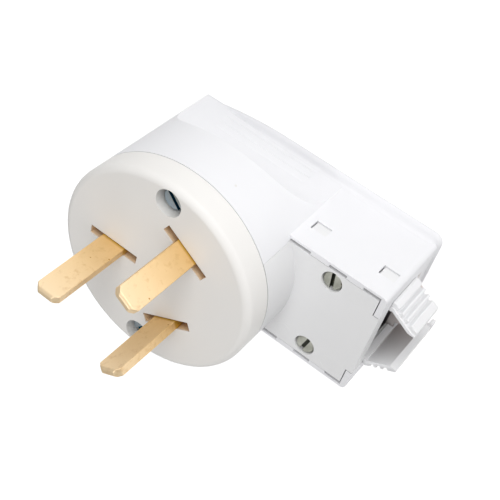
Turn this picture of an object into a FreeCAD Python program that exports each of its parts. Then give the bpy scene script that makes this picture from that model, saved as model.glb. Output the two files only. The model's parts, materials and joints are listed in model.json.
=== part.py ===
import FreeCAD, Part
import math
import os
import re

import Sketcher
from FreeCAD import Placement, Rotation, Vector

# Right-angle three-pin cooker plug, in millimetres. The pins point up (+Z), the cord leaves along +X,
# and the origin is the centre of the flat face that meets the socket. The plug stands on its back.

# Driving dimensions: name, value, meaning
SIZES = [
    ("pin_offset", 15.9, "from the pin axis to the live and neutral blades"),
    ("retainer_rim", 4.1, "from those blades' circle to the edge of the blade retainer"),
    ("base_screw_gap", 5.4, "from the edge of the retainer to a base screw"),
    ("base_screw_inset", 5.6, "from a base screw to the plug's round side"),
    ("base_depth", 8.7, "thickness of the pin base"),
    ("base_edge", 2.2, "rounding of the pin base's front edge"),
    ("base_web", 5.5, "thickness of the face in front of the retainer"),
    ("cover_depth", 42.7, "depth of the cover behind the parting plane"),
    ("side_wall", 2.2, "wall of the cover"),
    ("floor_wall", 3.0, "back wall of the cover"),
    ("arm_half", 18.7, "half width of the box arm"),
    ("arm_long", 24.2, "length of the box arm beyond the round body"),
    ("arm_depth", 29.9, "thickness of the box arm from its front to the plug's back"),
    ("arm_edge", 1.5, "rounding of the arm's end corners"),
    ("waist_step", 0.15, "how far the scooped waist stands proud of the arm's wall"),
    ("scoop_radius", 19.9, "radius of the finger scoops"),
    ("scoop_rise", 8.6, "height above the back where a scoop meets the waist"),
    ("cut_over", 1.0, "how far a cutting shape runs past what it cuts"),
    ("lip_proud", 2.5, "how far the back lip stands out of the arm's sides"),
    ("lip_depth", 1.25, "thickness of the back lip"),
    ("lip_tail", 10.5, "from the end of the round body to where the lip starts"),
    ("lip_straight", 4.3, "where the lip's side runs straight"),
    ("lip_tail_sink", 0.25, "how far inside the waist the lip starts"),
    ("lip_end_proud", 0.6, "how far the back lip stands out of the arm's end"),
    ("lip_corner", 3.1, "corner radius of the back lip"),
    ("rib_high", 8.2, "height of the first grip rib above the back"),
    ("rib_pitch", 1.15, "spacing of the grip ribs"),
    ("rib_width", 0.55, "width of a grip rib"),
    ("rib_rise", 0.3, "height of a grip rib"),
    ("rib_start", -16.4, "start of the grip ribs"),
    ("rib_end", 16.6, "end of the grip ribs"),
    ("lid_plate", 2.2, "thickness of the lid"),
    ("lid_rim", 0.9, "width of the cover's rim beside the lid"),
    ("lid_tuck", 0.12, "how far the lid's plate reaches under the edge of its round wall part"),
    ("lid_wall_step", 0.5, "step from the lid's side to its round wall part"),
    ("strip_depth", 1.7, "thickness of the cover's corner strips beside the lid"),
    ("flange_depth", 5.8, "depth of the lid's end flange over the cord outlet"),
    ("notch_deep", 0.9, "depth of the notches in the lid's long edges"),
    ("notch_near_gap", 1.3, "from the start of the lid to its first notch"),
    ("notch_mid_lead", 2.2, "from the start of the middle notch to the lid screws"),
    ("hook_end_gap", 0.2, "gap between the far hooks and the arm's end wall"),
    ("notch_long", 5.0, "length of a notch"),
    ("hook_wide", 4.2, "width of a snap hook"),
    ("hook_thick", 1.25, "thickness of a hook's tongue"),
    ("barb_rise", 1.4, "how far a barb stands out of its tongue"),
    ("barb_tall", 2.4, "height of a barb"),
    ("window_top", 6.9, "from the arm's front down to a hook window"),
    ("window_tall", 3.65, "height of a hook window"),
    ("outlet_jamb", 7.0, "width of the arm's end wall beside the cord outlet"),
    ("slot_length", 16.0, "length of a blade slot"),
    ("slot_gap", 0.2, "free space each side of a blade in its slot"),
    ("blade_width", 7.6, "width of a blade"),
    ("blade_thick", 2.5, "thickness of a blade"),
    ("blade_corner", 1.6, "cut corners of a blade's tip"),
    ("blade_bevel", 0.6, "bevel of a blade's tip"),
    ("blade_root", 4.3, "length of a blade behind the retainer"),
    ("earth_offset", 13.45, "from the pin axis to the earth blade"),
    ("earth_reach", 26.4, "length of the earth blade in front of the face"),
    ("pin_turn", 60.0, "angle of those blades round the axis, from the cord's direction"),
    ("pin_reach", 24.0, "length of those blades in front of the face"),
    ("rivet_inset", 2.5, "from the edge of the retainer to a rivet"),
    ("rivet_near_angle", 20.0, "angle of the two rivets on the cord's side"),
    ("rivet_far_angle", 120.0, "angle of the other two rivets"),
    ("rivet_radius", 1.2, "radius of a rivet"),
    ("rivet_head", 2.2, "radius of a rivet's head"),
    ("rivet_head_tall", 0.9, "height of a rivet's head"),
    ("rivet_grip", 2.0, "how far a rivet enters the face"),
    ("block_half", 4.6, "half width of a terminal block"),
    ("block_wall", 1.2, "wall of the earth terminal behind its blade"),
    ("block_rim", 2.8, "from a blade's middle to the outer side of its terminal block"),
    ("block_tall", 8.3, "height of a terminal block"),
    ("thread_depth", 6.5, "depth of the threaded hole in a terminal block"),
    ("terminal_reach", 6.2, "from a live or neutral blade to its terminal screw"),
    ("earth_terminal_reach", 8.0, "from the earth blade to its terminal screw"),
    ("plate_thick", 1.2, "thickness of a pressure plate"),
    ("plate_half", 4.0, "half width of a pressure plate"),
    ("screw_radius", 2.0, "radius of the shank of a base or terminal screw"),
    ("lid_screw_radius", 1.5, "radius of a lid screw's shank"),
    ("play", 0.06, "running clearance of a shaft in its hole"),
    ("fit_gap", 0.15, "clearance between fixed mouldings"),
    ("move_gap", 0.3, "clearance beside what moves"),
    ("terminal_head", 3.4, "radius of a terminal screw's head"),
    ("terminal_head_tall", 2.4, "height of a terminal screw's head"),
    ("slot_wide", 0.8, "width of a screwdriver slot"),
    ("slot_deep", 1.1, "depth of a screwdriver slot"),
    ("point_cut", 0.5, "chamfer of a screw's point"),
    ("head_edge", 0.35, "chamfer of a screw's head"),
    ("divider_half", 0.6, "half thickness of the terminal divider"),
    ("divider_start", 0.5, "start of the terminal divider"),
    ("divider_gap", 1.1, "gap between the terminal divider and the lid"),
    ("divider_tall", 25.3, "height of the terminal divider"),
    ("bore_gap", 0.35, "free space round a washer or a screw's head in its deep hole"),
    ("base_seat", 6.2, "depth of the seat of a base screw's washer"),
    ("base_head", 3.2, "radius of a base screw's head"),
    ("base_head_tall", 2.3, "height of a base screw's head"),
    ("base_shank", 13.5, "length of a base screw's shank"),
    ("washer_radius", 3.6, "radius of a captive washer"),
    ("washer_thick", 0.8, "thickness of a captive washer"),
    ("boss_wall", 1.0, "wall of a boss round its insert"),
    ("boss_tall", 16.3, "height of a boss in the cover"),
    ("insert_radius", 3.0, "outer radius of a brass insert"),
    ("insert_tall", 10.3, "height of a brass insert"),
    ("lid_screw_back", 15.2, "from the arm's end to the lid screws"),
    ("lid_screw_inset", 5.5, "from the arm's side to a lid screw"),
    ("lid_bore_deep", 2.3, "depth of a lid screw's sunk hole"),
    ("lid_head", 2.75, "radius of a lid screw's head"),
    ("lid_head_tall", 1.9, "height of a lid screw's head"),
    ("pad_half", 3.5, "half length of the lid's screw pads and of the cord clamp"),
    ("pad_in", 3.2, "from a lid screw to the inner side of its pad"),
    ("pad_tall", 2.8, "height of a screw pad under the lid"),
    ("grip_gap", 0.5, "gap between the lid's cord rib and a screw pad"),
    ("grip_long", 4.0, "length of the lid's cord rib"),
    ("grip_tall", 3.3, "height of the lid's cord rib"),
    ("clamp_tall", 5.0, "height of the cord clamp"),
    ("clamp_gap", 0.4, "gap under the open cord clamp"),
    ("cradle_radius", 6.5, "radius of the cord's cradle in the clamp"),
    ("cradle_deep", 2.0, "depth of the cradle"),
    ("nut_half", 2.75, "half width of a square nut"),
    ("nut_tall", 2.4, "height of a square nut"),
    ("pivot_back", 5.2, "from the arm's end to the jaw pivots"),
    ("pivot_inset", 1.35, "from the side of the cord outlet to a jaw pivot"),
    ("pivot_radius", 1.1, "radius of a jaw's trunnion"),
    ("pivot_deep", 2.2, "length of a trunnion in its bearing"),
    ("barrel_radius", 1.85, "radius of a jaw's barrel"),
    ("bearing_radius", 2.2, "radius of the lid's bearing bosses"),
    ("jaw_arm_thick", 2.0, "thickness of a jaw's arm inside the outlet"),
    ("jaw_inset", 0.85, "from the side of the cord outlet to the inner face of a wing's root"),
    ("jaw_slope", 30.0, "inward slope of the wing"),
    ("jaw_bend", 7.8, "length of the wing's inner face up to its bend"),
    ("jaw_reach", 9.175, "from the arm's end to the tips of the wings"),
    ("jaw_thick", 2.3, "thickness of the wing at its ridges"),
    ("jaw_step", 0.8, "from the arm's end to the step where a wing starts"),
    ("ridge_first", 0.9, "length of the first ridge on the slope"),
    ("ridge_pitch", 2.0, "spacing of the grooves"),
    ("groove_wide", 1.0, "width of a groove"),
    ("groove_deep", 1.3, "depth of a groove"),
    ("upper_wing_tall", 13.5, "height of the upper wing"),
    ("lower_wing_gap", 0.35, "gap between the lower wing and the back lip"),
    ("nub_tall", 1.2, "height of the nub on the end of the lower wing"),
    ("nub_long", 1.2, "length of that nub"),
    ("nub_proud", 1.3, "how far that nub stands inwards of the wing"),
    ("saddle_tall", 4.4, "height of the cord saddle on the back wall"),
    ("saddle_long", 9.0, "from the arm's end to the inner end of the cord saddle"),
    ("saddle_rim", 1.0, "width of the saddle beside a jaw's barrel"),
    ("tongue_thick", 1.4, "thickness of the saddle's tongue"),
    ("tongue_long", 2.8, "length of the tongue beyond the arm's end"),
    ("tongue_step", 2.7, "how far each side of the tongue steps in at the arm's end"),
    ("tongue_taper", 2.0, "how far each side of the tongue draws in towards its end"),
]
RIDGES = 3
RIBS = 5

# Distances below which two places count as the same, and a length as nothing
SAME = 1e-6
NOTHING = 1e-9

# Levels along the pins, worked out from the sizes
PARTING = "(-base_depth)"
BACK = "(-base_depth - cover_depth)"
FLOOR = f"({BACK} + floor_wall)"
SCOOP = f"({BACK} + scoop_rise)"
RIB_TOP = f"({BACK} + rib_high)"
ARM_FRONT = f"({BACK} + arm_depth)"
LID_SEAT = f"({ARM_FRONT} - lid_plate)"
LID_HEAD_SEAT = f"({ARM_FRONT} - lid_bore_deep)"
FLANGE_EDGE = f"({ARM_FRONT} - flange_depth)"
BEARING_EDGE = f"({FLANGE_EDGE} + move_gap)"
JAW_FRONT = f"({FLANGE_EDGE} - move_gap)"
SADDLE_TOP = f"({FLOOR} + saddle_tall)"
JAW_BACK = f"({SADDLE_TOP} + move_gap)"
UPPER_WING_BACK = f"({JAW_FRONT} - upper_wing_tall)"
LOWER_WING_BACK = f"({BACK} + lip_depth + lower_wing_gap)"
WINDOW_TOP = f"({ARM_FRONT} - window_top)"
WINDOW_LOW = f"({WINDOW_TOP} - window_tall)"
BLOCK_LOW = f"({PARTING} - block_tall)"
PLATE_LOW = f"({BLOCK_LOW} - plate_thick)"
CLAMP_LOW = f"({FLOOR} + clamp_gap)"
CLAMP_TOP = f"({CLAMP_LOW} + clamp_tall)"
BASE_HEAD_SEAT = "(-base_seat + washer_thick)"
BASE_POINT = f"({BASE_HEAD_SEAT} - base_shank)"

# Round parts, from the blades outwards
RETAINER = "(pin_offset + retainer_rim)"
BASE_SCREW = f"({RETAINER} + base_screw_gap)"
COVER = f"({BASE_SCREW} + base_screw_inset)"
CAVITY = f"({COVER} - side_wall)"
RIVET = f"({RETAINER} - rivet_inset)"
BASE_BORE = "(washer_radius + bore_gap)"
LID_BORE = "(lid_head + bore_gap)"
BOSS = "(insert_radius + boss_wall)"
THREAD = "(screw_radius + play)"
FREE_HOLE = "(screw_radius + move_gap)"
LID_THREAD = "(lid_screw_radius + play)"
LID_FREE_HOLE = "(lid_screw_radius + move_gap)"
BEARING = "(pivot_radius + play)"

# Places across the arm
WAIST = "(arm_half + waist_step)"
INNER_HALF = "(arm_half - side_wall)"
LIP_HALF = "(arm_half + lip_proud)"
LIP_TAIL_HALF = f"({WAIST} - lip_tail_sink)"
LID_HALF = "(arm_half - lid_rim)"
LID_WALL_HALF = f"({LID_HALF} - lid_wall_step)"
OUTLET_HALF = "(arm_half - outlet_jamb)"
LID_SCREW_Y = "(arm_half - lid_screw_inset)"
PAD_INNER = f"({LID_SCREW_Y} - pad_in)"
GRIP_HALF = f"({PAD_INNER} - grip_gap)"
PIVOT_Y = f"({OUTLET_HALF} - pivot_inset)"
SADDLE_HALF = f"({PIVOT_Y} + barrel_radius + saddle_rim)"
JAW_ARM_OUT = f"({OUTLET_HALF} - move_gap)"
JAW_ARM_IN = f"({JAW_ARM_OUT} - jaw_arm_thick)"
WING_ROOT = f"({OUTLET_HALF} - jaw_inset)"
WING_TIP_IN = f"({WING_ROOT} - jaw_bend * sin(jaw_slope))"
TONGUE_ROOT = f"({OUTLET_HALF} - tongue_step)"
TONGUE_HALF = f"({TONGUE_ROOT} - tongue_taper)"

# Places along the arm
ARM_END = f"({COVER} + arm_long)"
INNER_END = f"({ARM_END} - side_wall)"
LIP_START = f"(lip_tail - {COVER})"
LIP_END = f"({ARM_END} + lip_end_proud)"
LID_START = f"(sqrt({COVER}^2 - {LID_WALL_HALF}^2) - lid_tuck)"
LID_END = f"({ARM_END} - strip_depth - fit_gap)"
LID_SCREW_X = f"({ARM_END} - lid_screw_back)"
NOTCH_NEAR = f"({LID_START} + notch_near_gap)"
NOTCH_MID = f"({LID_SCREW_X} - notch_mid_lead)"
NOTCH_FAR = f"({INNER_END} - hook_end_gap - (notch_long + hook_wide) / 2)"
PIVOT_X = f"({ARM_END} - pivot_back)"
SADDLE_START = f"({ARM_END} - saddle_long)"
TONGUE_END = f"({ARM_END} + tongue_long)"
WING_START = f"({ARM_END} + move_gap)"
WING_END = f"({ARM_END} + jaw_reach)"

doc = FreeCAD.newDocument("cooker_plug")
sheet = doc.addObject("Spreadsheet::Sheet", "Sizes")
for row, (alias, number, meaning) in enumerate(SIZES, start=1):
    sheet.set(f"A{row}", meaning)
    sheet.set(f"B{row}", str(number))
    sheet.setAlias(f"B{row}", alias)
doc.recompute()
ALIASES = {alias for alias, _, _ in SIZES}
PLANES = {"X": "YZ_Plane", "Y": "XZ_Plane", "Z": "XY_Plane"}
nodes = []


# Expressions

def cells(text):
    """Put the sheet's name before every alias in an expression."""
    def with_sheet(match):
        word = match.group()
        return f"Sizes.{word}" if word in ALIASES else word
    return re.sub(r"[a-z_]+", with_sheet, str(text))


def size(text):
    """Work an expression out with the sheet's present values."""
    return float(sheet.evalExpression(cells(text)))


def bind(thing, **expressions):
    """Tie properties of an object to the sheet."""
    for name, text in expressions.items():
        thing.setExpression(name, cells(text))


def place(thing, x="0", y="0", z="0", turn=None):
    """Give an object a place that follows the sheet, turned about its own Z axis."""
    degrees = 0 if turn is None else size(turn)
    thing.Placement = Placement(Vector(0, 0, 0), Rotation(Vector(0, 0, 1), degrees))
    for axis, text in (("x", x), ("y", y), ("z", z)):
        if str(text) != "0":
            thing.setExpression(f".Placement.Base.{axis}", cells(text))
    return thing


# Sketched outlines

def corner(sketch, line, end, x, y):
    """Hold one corner of an outline at a place given by two expressions."""
    for kind, text, axis in (("DistanceX", x, -2), ("DistanceY", y, -1)):
        value = size(text)
        if abs(value) < NOTHING:
            sketch.addConstraint(Sketcher.Constraint("PointOnObject", line, end, axis))
        elif value > 0:
            held = sketch.addConstraint(Sketcher.Constraint(kind, -1, 1, line, end, value))
            sketch.setExpression(f"Constraints[{held}]", cells(text))
        else:
            held = sketch.addConstraint(Sketcher.Constraint(kind, line, end, -1, 1, -value))
            sketch.setExpression(f"Constraints[{held}]", cells(f"-({text})"))


def arc_between(start, end, radius):
    """The arc of a given radius from start to end, anticlockwise where the radius is positive."""
    chord = end - start
    across = Vector(-chord.y, chord.x, 0).normalize()
    rise = math.sqrt(radius ** 2 - (chord.Length / 2) ** 2)
    centre = start + chord * 0.5 + across * math.copysign(rise, radius)
    first, last = (start, end) if radius > 0 else (end, start)
    angles = [math.atan2(p.y - centre.y, p.x - centre.x) for p in (first, last)]
    return Part.ArcOfCircle(Part.Circle(centre, Vector(0, 0, 1), abs(radius)), *angles)


def draw_outline(sketch, points):
    """Draw a closed outline. A third item in a point is the radius of the arc that arrives there."""
    spots = [Vector(size(p[0]), size(p[1]), 0) for p in points]
    edges = []
    for index, point in enumerate(points):
        start, end = spots[index - 1], spots[index]
        if len(point) == 2:
            edges.append((sketch.addGeometry(Part.LineSegment(start, end)), 1, 2))
            continue
        radius = size(point[2])
        curve = sketch.addGeometry(arc_between(start, end, radius))
        edges.append((curve, 1, 2) if radius > 0 else (curve, 2, 1))
        held = sketch.addConstraint(Sketcher.Constraint("Radius", curve, abs(radius)))
        sketch.setExpression(f"Constraints[{held}]", cells(f"abs({point[2]})"))
    for index, point in enumerate(points):
        line, _, end = edges[index]
        following, start, _ = edges[(index + 1) % len(edges)]
        sketch.addConstraint(Sketcher.Constraint("Coincident", line, end, following, start))
        corner(sketch, line, end, point[0], point[1])


def draw_circle(sketch, x, y, radius):
    """Draw a circle whose centre and radius follow the sheet."""
    circle = sketch.addGeometry(Part.Circle(Vector(size(x), size(y), 0), Vector(0, 0, 1), size(radius)))
    corner(sketch, circle, 3, x, y)
    held = sketch.addConstraint(Sketcher.Constraint("Radius", circle, size(radius)))
    sketch.setExpression(f"Constraints[{held}]", cells(radius))


def circle(x, y, radius):
    """A circle to sketch, as its centre and radius."""
    return ("circle", x, y, radius)


def block(x_low, x_high, y_low, y_high):
    """A rectangle to sketch, as an outline."""
    return ("outline", [(x_low, y_low), (x_high, y_low), (x_high, y_high), (x_low, y_high)])


def turned_block(x, y, half_long, half_wide, turn):
    """A rectangle to sketch round (x, y), turned by an angle."""
    points = []
    for along, across in ((-1, -1), (1, -1), (1, 1), (-1, 1)):
        far, near = f"{along} * ({half_long})", f"{across} * ({half_wide})"
        points.append((f"{x} + {far} * cos({turn}) - {near} * sin({turn})",
                       f"{y} + {far} * sin({turn}) + {near} * cos({turn})"))
    return ("outline", points)


# Features of a body

def new_body(name, listed=True):
    """Start a body; a listed one is a sub-part of the plug."""
    body = doc.addObject("PartDesign::Body", name)
    body.Label = name
    if listed:
        nodes.append(body)
    return body


def sketch_on(body, axis, start, shapes):
    """Sketch shapes on the body's own plane across an axis, moved along its normal."""
    sketch = body.newObject("Sketcher::SketchObject", f"{body.Name}_sketch")
    plane = next(p for p in body.Origin.OriginFeatures if p.Role == PLANES[axis])
    sketch.AttachmentSupport = [(plane, "")]
    sketch.MapMode = "FlatFace"
    if str(start) != "0":
        sketch.setExpression(".AttachmentOffset.Base.z", cells(start))
    for kind, *rest in shapes:
        if kind == "circle":
            draw_circle(sketch, *rest)
        else:
            draw_outline(sketch, *rest)
    return sketch


def feature(kind, body, axis, low, high, shapes):
    """Pad or pocket shapes between two levels along an axis."""
    start = f"-({high})" if axis == "Y" else low
    sketch = sketch_on(body, axis, start, shapes)
    made = body.newObject(kind, f"{body.Name}_feature")
    made.Profile = sketch
    made.Reversed = kind == "PartDesign::Pocket"
    made.setExpression("Length", cells(f"({high}) - ({low})"))
    return made


def add(body, axis, low, high, *shapes):
    """Add material between two levels along an axis."""
    return feature("PartDesign::Pad", body, axis, low, high, shapes)


def remove(body, axis, low, high, *shapes):
    """Take material away between two levels along an axis."""
    return feature("PartDesign::Pocket", body, axis, low, high, shapes)


def turn_profile(body, points):
    """Revolve a profile of (radius, height) points about the body's Z axis."""
    sketch = sketch_on(body, "Y", "0", [("outline", points)])
    made = body.newObject("PartDesign::Revolution", f"{body.Name}_turned")
    made.Profile = sketch
    made.ReferenceAxis = (sketch, ["V_Axis"])
    made.Angle = 360.0
    return made


def soften(kind, body, length, wanted):
    """Fillet or chamfer the edges of the tip for which wanted(edge) is true."""
    doc.recompute()
    tip = body.Tip
    names = [f"Edge{i}" for i, edge in enumerate(tip.Shape.Edges, start=1) if wanted(edge)]
    made = body.newObject(kind, f"{body.Name}_softened")
    made.Base = (tip, names)
    made.setExpression("Radius" if kind == "PartDesign::Fillet" else "Size", cells(length))
    return made


def box(name, x_low, x_high, y_low, y_high, z_low, z_high):
    """A box between three pairs of levels."""
    made = doc.addObject("Part::Box", name)
    bind(made, Length=f"({x_high}) - ({x_low})", Width=f"({y_high}) - ({y_low})",
         Height=f"({z_high}) - ({z_low})")
    return place(made, x_low, y_low, z_low)


def cylinder(name, x, y, radius, z_low, z_high):
    """An upright cylinder between two levels."""
    made = doc.addObject("Part::Cylinder", name)
    bind(made, Radius=radius, Height=f"({z_high}) - ({z_low})")
    return place(made, x, y, z_low)


def fuse(name, shapes):
    """Join shapes into one."""
    made = doc.addObject("Part::MultiFuse", name)
    made.Shapes = shapes
    return made


def cut(name, base, tool):
    """Take one shape away from another."""
    made = doc.addObject("Part::Cut", name)
    made.Base = base
    made.Tool = tool
    return made


def group(name, shapes):
    """A sub-part made of several like solids."""
    made = doc.addObject("Part::Compound", name)
    made.Links = shapes
    return listed(made)


def listed(thing):
    """Count a finished object among the sub-parts, under its own name."""
    thing.Label = thing.Name
    nodes.append(thing)
    return thing


# Places of the blades and their screws
PIN_X = "pin_offset * cos(pin_turn)"
PIN_Y = "pin_offset * sin(pin_turn)"
BLADES = {
    "earth": {"x": "-earth_offset", "y": "0", "turn": "0", "reach": "earth_reach",
              "screw": ("earth_terminal_reach", "0"),
              "block": ("-(blade_width / 2 + block_wall)", "earth_terminal_reach + terminal_head + slot_gap",
                        "-(plate_half + slot_gap)", "plate_half + slot_gap")},
    "live": {"x": PIN_X, "y": PIN_Y, "turn": "pin_turn - 90", "reach": "pin_reach",
             "screw": ("0", "-terminal_reach"),
             "block": ("-block_half", "block_half", "-(terminal_reach + plate_half)", "block_rim")},
    "neutral": {"x": PIN_X, "y": f"-{PIN_Y}", "turn": "90 - pin_turn", "reach": "pin_reach",
                "screw": ("0", "terminal_reach"),
                "block": ("-block_half", "block_half", "-block_rim", "terminal_reach + plate_half")},
}
RIVETS = [(f"{RIVET} * cos({angle})", f"{side} * {RIVET} * sin({angle})")
          for angle in ("rivet_near_angle", "rivet_far_angle") for side in (1, -1)]
SIDES = {"upper": 1, "lower": -1}

# Angles of the screwdriver slots, in degrees
BASE_SLOT_TURNS = {"upper": "-33", "lower": "50"}
LID_SLOT_TURNS = {"upper": "103", "lower": "76"}


def screw_place(blade):
    """Where a blade's terminal screw stands in the plug's own frame."""
    along, across = blade["screw"]
    turn = blade["turn"]
    return (f"{blade['x']} + ({along}) * cos({turn}) - ({across}) * sin({turn})",
            f"{blade['y']} + ({along}) * sin({turn}) + ({across}) * cos({turn})")


# Pin base: a disc with a rounded front edge, blade slots, deep screw holes and a recess behind

def build_pin_base():
    base = new_body("pin_base")
    add(base, "Z", PARTING, "0", circle("0", "0", COVER))
    soften("PartDesign::Fillet", base, "base_edge",
           lambda edge: abs(edge.CenterOfMass.z) < SAME and isinstance(edge.Curve, Part.Circle))
    remove(base, "Z", PARTING, "-base_web", circle("0", "0", f"{RETAINER} + fit_gap"))
    slots = [turned_block(b["x"], b["y"], "slot_length / 2", "blade_thick / 2 + slot_gap", b["turn"])
             for b in BLADES.values()]
    remove(base, "Z", "-base_web", "cut_over", *slots)
    remove(base, "Z", "-base_seat", "cut_over",
           *[circle("0", f"{side} * {BASE_SCREW}", BASE_BORE) for side in SIDES.values()])
    remove(base, "Z", f"{PARTING} - cut_over", "-base_seat + cut_over",
           *[circle("0", f"{side} * {BASE_SCREW}", FREE_HOLE) for side in SIDES.values()])
    remove(base, "Z", "-base_web - cut_over", "-base_web + rivet_grip",
           *[circle(x, y, "rivet_radius") for x, y in RIVETS])


# Blade retainer and its rivets

def build_retainer():
    retainer = new_body("blade_retainer")
    add(retainer, "Z", PARTING, "-base_web", circle("0", "0", RETAINER))
    blades = [turned_block(b["x"], b["y"], "blade_width / 2", "blade_thick / 2", b["turn"])
              for b in BLADES.values()]
    remove(retainer, "Z", f"{PARTING} - cut_over", "-base_web + cut_over", *blades)
    remove(retainer, "Z", f"{PARTING} - cut_over", "-base_web + cut_over",
           *[circle(x, y, "rivet_radius") for x, y in RIVETS])
    rivets = []
    for index, (x, y) in enumerate(RIVETS):
        shank = cylinder(f"rivet_shank_{index}", x, y, "rivet_radius", PARTING, "-base_web + rivet_grip")
        head = cylinder(f"rivet_head_{index}", x, y, "rivet_head", f"{PARTING} - rivet_head_tall", PARTING)
        rivets.append(fuse(f"rivet_{index}", [shank, head]))
    group("retainer_rivets", rivets)


# Blades: flat brass bars with cut corners and a bevelled tip

def build_blade(name, blade):
    body = new_body(f"{name}_blade")
    half, tip = "blade_width / 2", blade["reach"]
    low = f"{PARTING} - blade_root"
    add(body, "Y", "-blade_thick / 2", "blade_thick / 2", ("outline", [
        (f"-{half}", low), (half, low), (half, f"{tip} - blade_corner"), (f"{half} - blade_corner", tip),
        (f"-{half} + blade_corner", tip), (f"-{half}", f"{tip} - blade_corner")]))
    top = size(tip)
    soften("PartDesign::Chamfer", body, "blade_bevel",
           lambda edge: abs(edge.CenterOfMass.z - top) < SAME and abs(edge.CenterOfMass.x) < SAME)
    place(body, blade["x"], blade["y"], turn=blade["turn"])


# Terminals: a block on each blade's root, a pressure plate and a screw that carries it

def build_terminal(name, blade):
    x_screw, y_screw = blade["screw"]
    body = new_body(f"{name}_terminal")
    add(body, "Z", BLOCK_LOW, PARTING, block(*blade["block"]))
    remove(body, "Z", f"{PARTING} - blade_root", f"{PARTING} + cut_over",
           block("-blade_width / 2", "blade_width / 2", "-blade_thick / 2", "blade_thick / 2"))
    remove(body, "Z", f"{BLOCK_LOW} - cut_over", f"{BLOCK_LOW} + thread_depth",
           circle(x_screw, y_screw, THREAD))
    place(body, blade["x"], blade["y"], turn=blade["turn"])

    plate = new_body(f"{name}_clamp")
    add(plate, "Z", PLATE_LOW, BLOCK_LOW, block("-plate_half", "plate_half", "-plate_half", "plate_half"))
    remove(plate, "Z", f"{PLATE_LOW} - cut_over", f"{BLOCK_LOW} + cut_over", circle("0", "0", THREAD))
    x, y = screw_place(blade)
    place(plate, x, y, turn=blade["turn"])

    screw = new_body(f"{name}_screw")
    head_low = f"{PLATE_LOW} - terminal_head_tall"
    point = f"{BLOCK_LOW} + thread_depth - slot_gap"
    turn_profile(screw, [
        ("0", head_low), ("terminal_head - head_edge", head_low),
        ("terminal_head", f"{head_low} + head_edge"), ("terminal_head", PLATE_LOW),
        ("screw_radius", PLATE_LOW), ("screw_radius", f"{point} - point_cut"),
        ("screw_radius - point_cut", point), ("0", point)])
    remove(screw, "Z", f"{head_low} - cut_over", f"{head_low} + slot_deep",
           block("-terminal_head - cut_over", "terminal_head + cut_over", "-slot_wide / 2", "slot_wide / 2"))
    place(screw, x, y, turn="pin_turn")


# Insulating wall between the live and the neutral terminal

def build_divider():
    divider = new_body("terminal_divider")
    add(divider, "Z", f"{PARTING} - divider_tall", PARTING,
        block("divider_start", f"{LID_START} - divider_gap", "-divider_half", "divider_half"))


# Slotted screw standing head up at a place

def build_slotted_screw(name, x, y, radius, head, head_tall, seat, shank, turn):
    screw = new_body(name)
    top = f"{seat} + {head_tall}"
    point = f"{seat} - ({shank})"
    turn_profile(screw, [
        ("0", point), (f"{radius} - point_cut", point), (radius, f"{point} + point_cut"),
        (radius, seat), (head, seat), (head, f"{top} - head_edge"), (f"{head} - head_edge", top),
        ("0", top)])
    remove(screw, "Z", f"{top} - slot_deep", f"{top} + cut_over",
           block(f"-{head} - cut_over", f"{head} + cut_over", "-slot_wide / 2", "slot_wide / 2"))
    place(screw, x, y, turn=turn)


# Base screws, their captive washers and the inserts that they turn in

def build_base_screws():
    for side_name, side in SIDES.items():
        y = f"{side} * {BASE_SCREW}"
        build_slotted_screw(f"base_screw_{side_name}", "0", y, "screw_radius", "base_head", "base_head_tall",
                            BASE_HEAD_SEAT, "base_shank", BASE_SLOT_TURNS[side_name])
        washer = new_body(f"base_washer_{side_name}")
        add(washer, "Z", "-base_seat", BASE_HEAD_SEAT, circle("0", "0", "washer_radius"),
            circle("0", "0", THREAD))
        place(washer, "0", y)
    inserts = []
    for side_name, side in SIDES.items():
        y = f"{side} * {BASE_SCREW}"
        outer = cylinder(f"insert_outer_{side_name}", "0", y, "insert_radius",
                         f"{PARTING} - insert_tall", PARTING)
        bore = cylinder(f"insert_bore_{side_name}", "0", y, THREAD,
                        f"{PARTING} - insert_tall - cut_over", f"{PARTING} + cut_over")
        inserts.append(cut(f"insert_{side_name}", outer, bore))
    group("base_inserts", inserts)


# Envelope of the round body, its scoops and its arm, used for the outside and for the cavity

def scoop(side, waist, radius, reach):
    """The region outside one finger scoop, in the plane across the cord."""
    rise = f"sqrt(({radius})^2 - ({WAIST} + scoop_radius - ({reach}))^2)"
    bend = f"({radius})" if side < 0 else f"-({radius})"
    below = f"{BACK} - cut_over"
    return ("outline", [(f"{side} * {waist}", SCOOP),
                        (f"{side} * ({reach})", f"{SCOOP} + {rise}", bend),
                        (f"{side} * ({reach})", below), (f"{side} * {waist}", below)])


def build_envelope(name, radius, waist, scoop_bend, low, high, arm_end, arm_half, arm_high):
    envelope = new_body(name, listed=False)
    add(envelope, "Z", low, high, circle("0", "0", radius))
    remove(envelope, "X", f"-({COVER} + cut_over)", f"{COVER} + cut_over",
           *[scoop(side, waist, scoop_bend, f"{COVER} + cut_over") for side in SIDES.values()])
    add(envelope, "Z", low, arm_high, block("0", arm_end, f"-{arm_half}", arm_half))
    return envelope


# Rear cover: shell with scoops, grip ribs, back lip, lid seat, hook windows, outlet and screw bosses

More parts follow.
